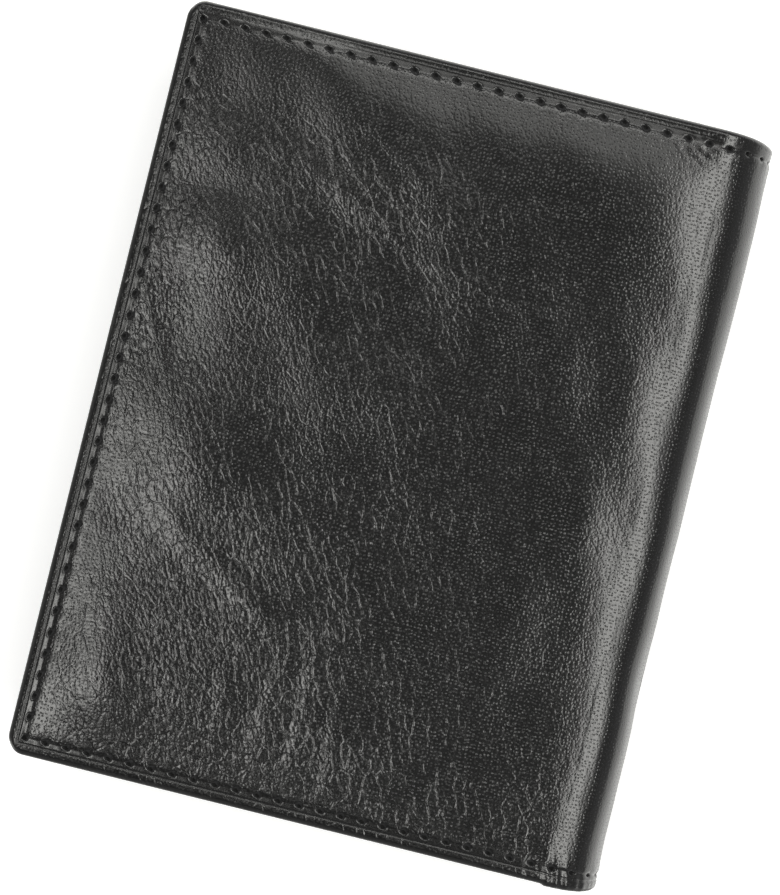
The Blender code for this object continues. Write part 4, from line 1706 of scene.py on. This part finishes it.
@dataclass(frozen=True)
class Ply:
    """A flat ply of the inside, in millimetres, seen from one side."""

    node: str
    low_radius: float = 0.4
    high_radius: float = 0.4
    facing: int = 1
    step: float = 1.2
    wave: float = 0.05
    edge: PlyEdge = PlyEdge()
    field_inset: float = 3.2

    def outline(self) -> RoundedOutline:
        """The ply's outline."""
        low, high = box_mm(self.node)
        steps = tuple(int(round((high[i] - low[i]) / self.step)) for i in (0, 1))
        return RoundedOutline(tuple(low[:2]), tuple(high[:2]), self.low_radius, self.high_radius, steps)

    def heights(self, x: Array, y: Array, level: Array | float) -> Array:
        """Heights at a level of the ply.

        All plies share soft waves of 9 to 27 mm, so that they never touch, and the face that shows
        has its crease.

        Args:
            x: places across.
            y: places along.
            level: 1 for the upper face, -1 for the lower one, or between.

        Returns:
            The heights.
        """
        low, high = box_mm(self.node)
        waves = np.sin(TAU * x / 27 + 0.8) * np.sin(TAU * y / 19 + 1.1)
        waves = waves + 0.5 * np.sin(TAU * (x + 1.7 * y) / 23) + 0.3 * np.sin(TAU * (1.6 * x - y) / 17)
        shows = np.clip(np.asarray(level) * self.facing, 0, 1)
        relief = self.facing * shows * self.edge.relief(self.outline().inset_of(x, y))
        middle, half = (low[2] + high[2]) / 2, (high[2] - low[2]) / 2
        return middle + half * np.asarray(level) + self.wave * waves + relief

    def add(self, surface: Surface, x: Array, y: Array, level: Array | float) -> Array:
        """Add points at a level of the ply; each ply is cut from its own place of the hide."""
        seed = sum(map(ord, self.node))
        flat = np.stack([x + 7.0 * (seed % 13), y + 11.0 * (seed % 7)], axis=-1)
        return surface.add_points(np.stack([x, y, self.heights(x, y, level)], axis=-1) * MM, flat)

    def build(self, name: str) -> Piece:
        """Build the ply: rings round its edge from face to face, and a field on each face.

        Args:
            name: the piece's name.

        Returns:
            The ply as a closed piece.
        """
        surface, outline = Surface(), self.outline()
        roll_insets, roll_levels = self.edge.turn()
        top = self.edge.insets
        face = np.ones(len(top))
        rings = np.stack([outline.ring(inset) for inset in (*top, *roll_insets, *top[::-1])])
        levels = np.concatenate([face, roll_levels, -face])[:, None]
        rows = self.add(surface, rings[..., 0], rings[..., 1], levels)
        surface.add_grid(rows, wrap=True)
        for level in (1.0, -1.0):
            numbers = self.add(surface, *outline.field(self.field_inset), level)
            surface.add_grid(numbers, flip=level > 0)
            rim = outline.field_ring(numbers)
            strip = [rim, rows[0]] if level > 0 else [rows[-1], rim]
            surface.add_grid(np.stack(strip), wrap=True)
        return surface.build(name)


@dataclass(frozen=True)
class WindowPly(Ply):
    """The page's frame: a ply with a window cut out, its edge rolled and creased as well."""

    opening_low: tuple[float, float] = (-40.75, -5.5)
    opening_high: tuple[float, float] = (35.55, 46.5)
    opening_radius: float = 3.0

    def build(self, name: str) -> Piece:
        """Build the frame as a ring: rows run from the window to the outer edge and back.

        Args:
            name: the piece's name.

        Returns:
            The frame as a closed piece.
        """
        outline, edge = self.outline(), self.edge
        radius = self.opening_radius
        opening = RoundedOutline(self.opening_low, self.opening_high, radius, radius, outline.steps)
        roll_insets, roll_levels = edge.turn()
        inner, outer = opening.ring(-self.field_inset), outline.ring(self.field_inset)
        face = [opening.ring(-inset) for inset in edge.insets[::-1]]
        face += [inner * (1 - share) + outer * share for share in np.linspace(0, 1, 5)]
        face += [outline.ring(inset) for inset in edge.insets]
        outer_roll = [outline.ring(inset) for inset in roll_insets]
        inner_roll = [opening.ring(-inset) for inset in roll_insets]
        rings = np.stack(face + outer_roll + face[::-1] + inner_roll)
        ones = np.ones(len(face))
        levels = np.concatenate([ones, roll_levels, -ones, -roll_levels])[:, None]
        x, y = rings[..., 0], rings[..., 1]
        shows = np.clip(levels * self.facing, 0, 1)
        window_relief = self.facing * shows * edge.relief(-opening.inset_of(x, y))
        z = self.heights(x, y, levels) + window_relief
        surface = Surface()
        rows = surface.add_points(np.stack([x, y, z], axis=-1) * MM, np.stack([x, y], axis=-1))
        surface.add_grid(np.concatenate([rows, rows[:1]]), wrap=True)
        return surface.build(name)


@dataclass(frozen=True)
class BindingBar:
    """The page's binding: a leather-covered cord at the spine with a tongue to the page's plies."""

    node: str = "page_binding"
    corner: float = 0.5
    end_roll: float = 0.5
    rows: int = 150

    def section(self) -> Array:
        """The section in x and z: a half circle at the spine and a flat back with soft corners.

        Returns:
            A row for each point, in millimetres.
        """
        low, high = box_mm(self.node)
        radius = (high[2] - low[2]) / 2
        axis = np.array([high[0] - radius, (high[2] + low[2]) / 2])
        points = [axis + radius * circle(np.linspace(-math.pi / 2, math.pi / 2, 22))]
        for centre_z, start in ((high[2] - self.corner, math.pi / 2), (low[2] + self.corner, math.pi)):
            centre = np.array([low[0] + self.corner, centre_z])
            points.append(centre + self.corner * circle(start + np.linspace(0, math.pi / 2, 6)))
        return np.concatenate(points)

    def build(self, name: str) -> Piece:
        """Sweep the section along Y, with both ends rolled in.

        Args:
            name: the piece's name.

        Returns:
            The binding as a closed piece.
        """
        low, high = box_mm(self.node)
        section = self.section()
        middle = section.mean(axis=0)
        angle = np.linspace(0, math.pi / 2, 6)
        roll_y, roll_inset = self.end_roll * (1 - np.cos(angle)), self.end_roll * (1 - np.sin(angle))
        y = np.linspace(low[1] + self.end_roll, high[1] - self.end_roll, self.rows)[1:-1]
        along = np.concatenate([low[1] + roll_y, y, high[1] - roll_y[::-1]])
        inset = np.concatenate([roll_inset, np.zeros(len(y)), roll_inset[::-1]])
        reach = np.linalg.norm(section - middle, axis=1).min()
        rings = middle + (section - middle) * (1 - inset[:, None, None] / reach)
        y = np.broadcast_to(along[:, None], rings.shape[:2])
        steps = np.linalg.norm(np.diff(section, axis=0, prepend=section[-1:]), axis=1)
        around = np.broadcast_to(np.cumsum(steps), y.shape)
        points = np.stack([rings[..., 0], y, rings[..., 1]], axis=-1) * MM
        surface = Surface()
        numbers = surface.add_points(points, np.stack([around, y], axis=-1))
        surface.add_grid(numbers, wrap=True)
        surface.add_face(numbers[0])
        surface.add_face(numbers[-1], flip=True)
        return surface.build(name)


@dataclass(frozen=True)
class LiningSheet:
    """The note pocket's lining: one woven sheet behind both halves and round the spine's inside.

    It is laid out in the outer leather's own places across and along, deeper down.
    """

    near_depth: float = 2.2
    far_depth: float = 2.5
    inset: float = 1.0
    end_roll: float = 0.15
    end_share: float = 0.05
    slack: float = 0.05
    cross_slack: float = 0.03
    half_rows: int = 60
    spine_rows: int = 10
    columns: int = 124

    @property
    def middle(self) -> float:
        """The depth of the sheet's middle."""
        return (self.near_depth + self.far_depth) / 2

    def section(self) -> tuple[Array, Array]:
        """The sheet's section along v: both faces and a half circle at head and tail.

        Returns:
            Places along the sheet, and how far each lies below the sheet's middle.
        """
        half = (self.far_depth - self.near_depth) / 2
        end = FORM.half_height - self.inset - half
        along = np.linspace(-end, end, self.columns)
        angle = np.linspace(0, math.pi, 6)[1:-1]
        roll, face = half * np.sin(angle), np.ones(self.columns)
        v = np.concatenate([along, end + roll, along[::-1], -end - roll])
        return v, half * np.concatenate([-face, -np.cos(angle), face, np.cos(angle)])

    def waves(self, u: Array, v: Array) -> Array:
        """Soft slack of the cloth: crossed waves of 13, 23 and 31 mm."""
        long_waves = np.sin(TAU * u / 23 + 1.0) * np.sin(TAU * v / 31)
        return self.slack * long_waves + self.cross_slack * np.sin(TAU * (u - v) / 13)

    def part(self, name: str, across: Array, thin: Array) -> Piece:
        """Build the part over some places across the sheet.

        Args:
            name: the part's name.
            across: the places, in millimetres.
            thin: the share of the thickness that is left at each place, for rolled ends.

        Returns:
            The part.
        """
        v, below = self.section()
        u, v = np.broadcast_arrays(across[:, None], v)
        depths = self.middle + below * thin[:, None]
        points = FORM.place(u, v, depths - self.waves(u, v), plain=True)
        shrink = (FORM.radius - self.middle) / FORM.radius
        run = np.minimum(u, 0) + np.clip(u, 0, FORM.turn) * shrink + np.maximum(u - FORM.turn, 0)
        surface = Surface()
        numbers = surface.add_points(points, np.stack([run, v], axis=-1))
        surface.add_grid(numbers, wrap=True)
        normals = point_normals(points.reshape(-1, 3), surface.blocks)
        surface.add_face(numbers[0])
        surface.add_face(numbers[-1], flip=True)
        return surface.build(name, normals)

    def half(self, name: str, which: Cover, border: float) -> Piece:
        """The part behind one cover, from the free edge to the border with the spine.

        Args:
            name: the part's name.
            which: the cover.
            border: how far out from the fold line the border lies, in millimetres.

        Returns:
            The part.
        """
        free = FORM.free_length - self.inset
        angle = np.linspace(math.pi / 2, 0, 5)
        roll = free - self.end_roll * (1 - np.sin(angle))
        face = np.linspace(free - self.end_roll, border, self.half_rows)[1:]
        out = np.concatenate([roll, face])
        thin = np.concatenate([np.maximum(np.cos(angle), self.end_share), np.ones(len(face))])
        if which is Cover.BACK:
            return self.part(name, -out, thin)
        return self.part(name, (FORM.turn + out)[::-1], thin[::-1])


@dataclass
class Inside:
    """Everything inside the wallet: linings, panels, card slots and the turning page."""

    outer: OuterShell
    finish: GlazedLeather = GlazedLeather(
        colour="#161616", worn="#232322", pore_spacing=0.8, pore_depth=0.026, pebble_size=1.15,
        pebble_depth=0.17, crease_depth=0.05, smooth_roughness=0.30, rough_roughness=0.44, coat=0.35,
    )
    lining: LiningSheet = LiningSheet()
    slots: int = 4
    stitch: StitchForm = StitchForm(radius=0.21, top_depth=-0.20, hole_depth=0.34)
    seam_start: float = 40.0
    page_stitch: StitchForm = StitchForm(radius=0.17, top_depth=-0.12, hole_depth=0.30)
    page_pitch: float = 3.0
    page_seam_inset: float = 1.4
    page_seam_gap: float = 0.5

    def make_lining(self, material: Material) -> None:
        """The lining behind both halves, and its parts that bend round the spine.

        Args:
            material: the material of the lining.
        """
        leather = self.outer.leather
        for cover in Cover:
            piece = self.lining.half(f"{cover.value}_half_lining", cover, leather.net.border)
            dress(piece, "lining_fabric", material, f"{cover.value}_note_lining", body=cover.body)
        lines = leather.fold_lines()
        for number in range(len(lines) - 1):
            across = np.linspace(lines[number], lines[number + 1], self.lining.spine_rows)
            piece = self.lining.part(f"spine_lining_bend_{number + 1}", across, np.ones(len(across)))
            self.outer.bend(piece, number)
            dress(piece, "lining_fabric", material, *bent_strips("spine_lining", number))

    def make_half(self, cover: Cover, leather: Material) -> None:
        """One half's inner panel and card slots.

        Args:
            cover: the cover that the half belongs to.
            leather: the material of the plies.
        """
        half, facing = cover.value, 1 if cover is Cover.FRONT else -1
        plies = [(Ply(f"{half}_inner_panel", 3.0, facing=facing), f"{half}_panel_leather")]
        for number in range(1, self.slots + 1):
            ply = Ply(f"{half}_card_slot_{number}", 1.6, facing=facing)
            plies.append((ply, f"{half}_slot_leather_{number}"))
        for ply, name in plies:
            dress(ply.build(name), "inner_leather", leather, ply.node, body=cover.body)

    def make_page(self, leather: Material) -> None:
        """The turning page: window frame, film, back leather, card slots and binding.

        Args:
            leather: the material of the plies.
        """
        film = Ply("page_window_film", 3.0, 3.0, edge=PlyEdge(crease_depth=0.0, puff=0.0, roll=0.08))
        vinyl = ClearFilm().material("clear_vinyl")
        dress(film.build("page_clear_film"), "window_film", vinyl, film.node, body="page")
        for form, name in (
            (WindowPly("page_window_frame", 3.5, facing=-1), "page_frame_leather"),
            (Ply("page_back_leather", 3.5), "page_back_ply"),
            (Ply("page_card_slot_1", 3.5), "page_slot_leather_1"),
            (Ply("page_card_slot_2", 3.5), "page_slot_leather_2"),
            (BindingBar(), "page_binding_leather"),
        ):
            dress(form.build(name), "inner_leather", leather, form.node, body="page")

    def flat_stitches(self, name: str, corners: list[Point], pitch: float, stitch: StitchForm,
                      level: Callable[[Array], Array], facing: int) -> Piece:
        """Stitches along a line of corners on a flat face.

        Args:
            name: the piece's name.
            corners: the seam's corners in millimetres.
            pitch: the spacing between holes.
            stitch: the form of one stitch.
            level: the height of the face in millimetres at given places along Y.
            facing: 1 if the face looks up and -1 if it looks down.

        Returns:
            The stitches as one object.
        """
        runs = [
            np.linspace(first, last, round(math.dist(first, last) / pitch) + 1)
            for first, last in zip(corners, corners[1:])
        ]

        def lay(x: Array, y: Array, depth: Array) -> Array:
            """Put places of the face into the frame, each stitch at the height under its middle."""
            z = level(y.mean(axis=(1, 2), keepdims=True)) - facing * depth
            return np.stack([x, y, z], axis=-1) * MM

        starts = np.concatenate([run[:-1] for run in runs])
        ends = np.concatenate([run[1:] for run in runs])
        return stitch.build(name, starts, ends, lay, facing > 0)

    def make_seams(self, thread: Material) -> None:
        """The inner side of the covers' seam, and the page's own seam.

        Args:
            thread: the material of the stitches.
        """
        free = FORM.free_x + FORM.seam_inset
        top = FORM.half_height - FORM.seam_inset
        nodes = ["front_inner_panel", *(f"front_card_slot_{n}" for n in range(1, self.slots + 1))]
        heads = [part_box(node)[1] for node in nodes]

        def front_level(y: Array) -> Array:
            """The topmost ply's face under a stitch of the front half.

            Args:
                y: places along Y.

            Returns:
                The heights in millimetres.
            """
            z = np.full(y.shape, self.lining.far_depth)
            for corner in heads:
                z = np.where(y < corner[1] / MM, corner[2] / MM, z)
            return z

        def back_level(y: Array) -> Array:
            """The same for the back half, which mirrors it."""
            return FORM.thickness - front_level(y)

        line = [(self.seam_start, top), (free, top), (free, -top), (self.seam_start, -top)]
        for cover, level, facing in ((Cover.FRONT, front_level, 1), (Cover.BACK, back_level, -1)):
            name = f"{cover.value}_inner_stitches"
            piece = self.flat_stitches(name, line, FORM.pitch, self.stitch, level, facing)
            dress(piece, "seam_thread", thread, body=cover.body)

        low, high = box_mm("page_window_frame")
        left, right = low[0] + self.page_seam_inset, high[0] - self.page_seam_gap
        tail, head = low[1] + self.page_seam_inset, high[1] - self.page_seam_inset
        line = [(right, head), (left, head), (left, tail), (right, tail)]
        piece = self.flat_stitches("page_stitches", line, self.page_pitch, self.page_stitch,
                                   lambda y: np.full(y.shape, low[2]), -1)
        dress(piece, "seam_thread", thread, "page_seam_thread", body="page")

    def make(self) -> None:
        """Build and dress everything, and tie all but the spine's lining to the bodies. The stiffeners
        keep the frame's own solids.
        """
        leather = self.finish.material("fine_black_leather")
        self.make_lining(Twill().material("black_twill"))
        board = GreyBoard().material("grey_board")
        for cover in Cover:
            self.make_half(cover, leather)
            for slot in bpy.data.objects[f"{cover.value}_stiffener"].material_slots:
                slot.material = board
        self.make_page(leather)
        self.make_seams(bpy.data.materials["waxed_black_thread"])


@dataclass(frozen=True)
class Softbox:
    """A studio lamp behind white cloth, aimed at the wallet. Angles are in degrees."""

    name: str
    tilt: float
    heading: float
    width: float
    length: float
    radiance: float
    distance: float = 1.25
    colour: tuple[float, float, float] = (1.0, 0.995, 0.96)

    def make(self) -> None:
        """Place the lamp by its tilt off the zenith and its heading from +X.

        A lamp gives pi watts for each unit of radiance and square metre.
        """
        data = bpy.data.lights.new(self.name, "AREA")
        data.shape = "RECTANGLE"
        data.size, data.size_y = self.width, self.length
        data.energy = self.radiance * self.width * self.length * math.pi
        data.color = self.colour
        lamp = bpy.data.objects.new(self.name, data)
        tilt, heading = math.radians(self.tilt), math.radians(self.heading)
        aside = self.distance * math.sin(tilt)
        lamp.location = (
            aside * math.cos(heading), aside * math.sin(heading), self.distance * math.cos(tilt)
        )
        lamp.rotation_euler = (0, tilt, heading)
        bpy.context.scene.collection.objects.link(lamp)


@dataclass(frozen=True)
class Studio:
    """The floor, the surroundings, the lamps and the camera."""

    floor_side: float = 6.0
    floor_drop: float = 0.0002
    surroundings: float = 0.58
    reflected_walls: float = 0.30
    reflected_ceiling: float = 0.015
    wall_top: float = 0.25
    ceiling_edge: float = 0.93
    lamps: tuple[Softbox, ...] = (
        # Each lamp's name, tilt, heading, width, length and radiance, and its distance if it's far.
        Softbox("spine_softbox", 27, 0, 0.20, 1.5, 5.8),
        Softbox("spine_fill_softbox", 30, 0, 0.45, 1.8, 0.40, 1.4),
        Softbox("edge_softbox", 18, 196, 0.18, 0.6, 3.1),
        Softbox("edge_fill_softbox", 20, 194, 0.66, 1.0, 0.38, 1.4),
        Softbox("corner_softbox", 21, 218, 0.25, 0.35, 3.2),
        Softbox("head_softbox", 22, 74, 0.20, 0.6, 1.8, 1.4),
        Softbox("head_rim_softbox", 36, 94, 0.16, 0.8, 4.4),
        Softbox("tail_softbox", 26, -90, 0.12, 0.9, 0.6, 1.4),
    )
    pixels_per_mm: float = 6.197
    image_height: float = 895.0
    camera_turn: float = 13.95
    camera_place: tuple[float, float] = (-0.12, -0.19)
    lens: float = 150.0
    sensor: float = 36.0

    def make_floor(self) -> None:
        """A plain floor just under the wallet."""
        half, low = self.floor_side / 2, -self.floor_drop
        corners = [(-half, -half, low), (half, -half, low), (half, half, low), (-half, half, low)]
        mesh = bpy.data.meshes.new("floor")
        mesh.from_pydata(corners, [], [(0, 1, 2, 3)])
        mesh.materials.append(FloorPaint().material("pale_floor"))
        floor = bpy.data.objects.new("floor", mesh)
        bpy.context.scene.collection.objects.link(floor)

    def make_surroundings(self) -> None:
        """Even light from all round, white to the camera; gloss shows pale walls and a dim ceiling."""
        world = bpy.data.worlds.new("studio")
        world.use_nodes = True
        background = world.node_tree.nodes["Background"]
        tree = NodeTree(world.node_tree)
        ray = tree.add("ShaderNodeLightPath").outputs
        way = tree.add("ShaderNodeTexCoord").outputs["Generated"]
        height = tree.add("ShaderNodeSeparateXYZ", {0: way}).outputs["Z"]
        walls = tree.range(
            height, self.wall_top, self.ceiling_edge, self.reflected_walls, self.reflected_ceiling
        )
        reflected = tree.range(ray["Is Glossy Ray"], 0.0, 1.0, self.surroundings, walls)
        seen = tree.range(ray["Is Camera Ray"], 0.0, 1.0, reflected, 1.0)
        tree.link(background, {"Color": WHITE, "Strength": seen})
        bpy.context.scene.world = world

    def make_camera(self) -> None:
        """The camera, straight above the wallet and turned as the photograph shows it."""
        data = bpy.data.cameras.new("camera")
        data.lens, data.sensor_width = self.lens, self.sensor
        camera = bpy.data.objects.new("camera", data)
        seen_height = self.image_height / self.pixels_per_mm
        x, y = self.camera_place
        z = FORM.thickness + seen_height * self.lens / self.sensor
        camera.location = (x * MM, y * MM, z * MM)
        camera.rotation_euler = (0, 0, math.radians(self.camera_turn))
        bpy.context.scene.collection.objects.link(camera)
        bpy.context.scene.camera = camera

    def make(self) -> None:
        """Set everything up."""
        self.make_floor()
        self.make_surroundings()
        self.make_camera()
        for lamp in self.lamps:
            lamp.make()
        bpy.context.scene.view_settings.view_transform = "Standard"


def main() -> None:
    """Build the wallet piece by piece, then the studio."""
    logging.basicConfig(level=logging.INFO, format="%(message)s")
    outer = OuterShell()
    outer.make()
    Inside(outer).make()
    Studio().make()


if __name__ == "__main__":
    main()
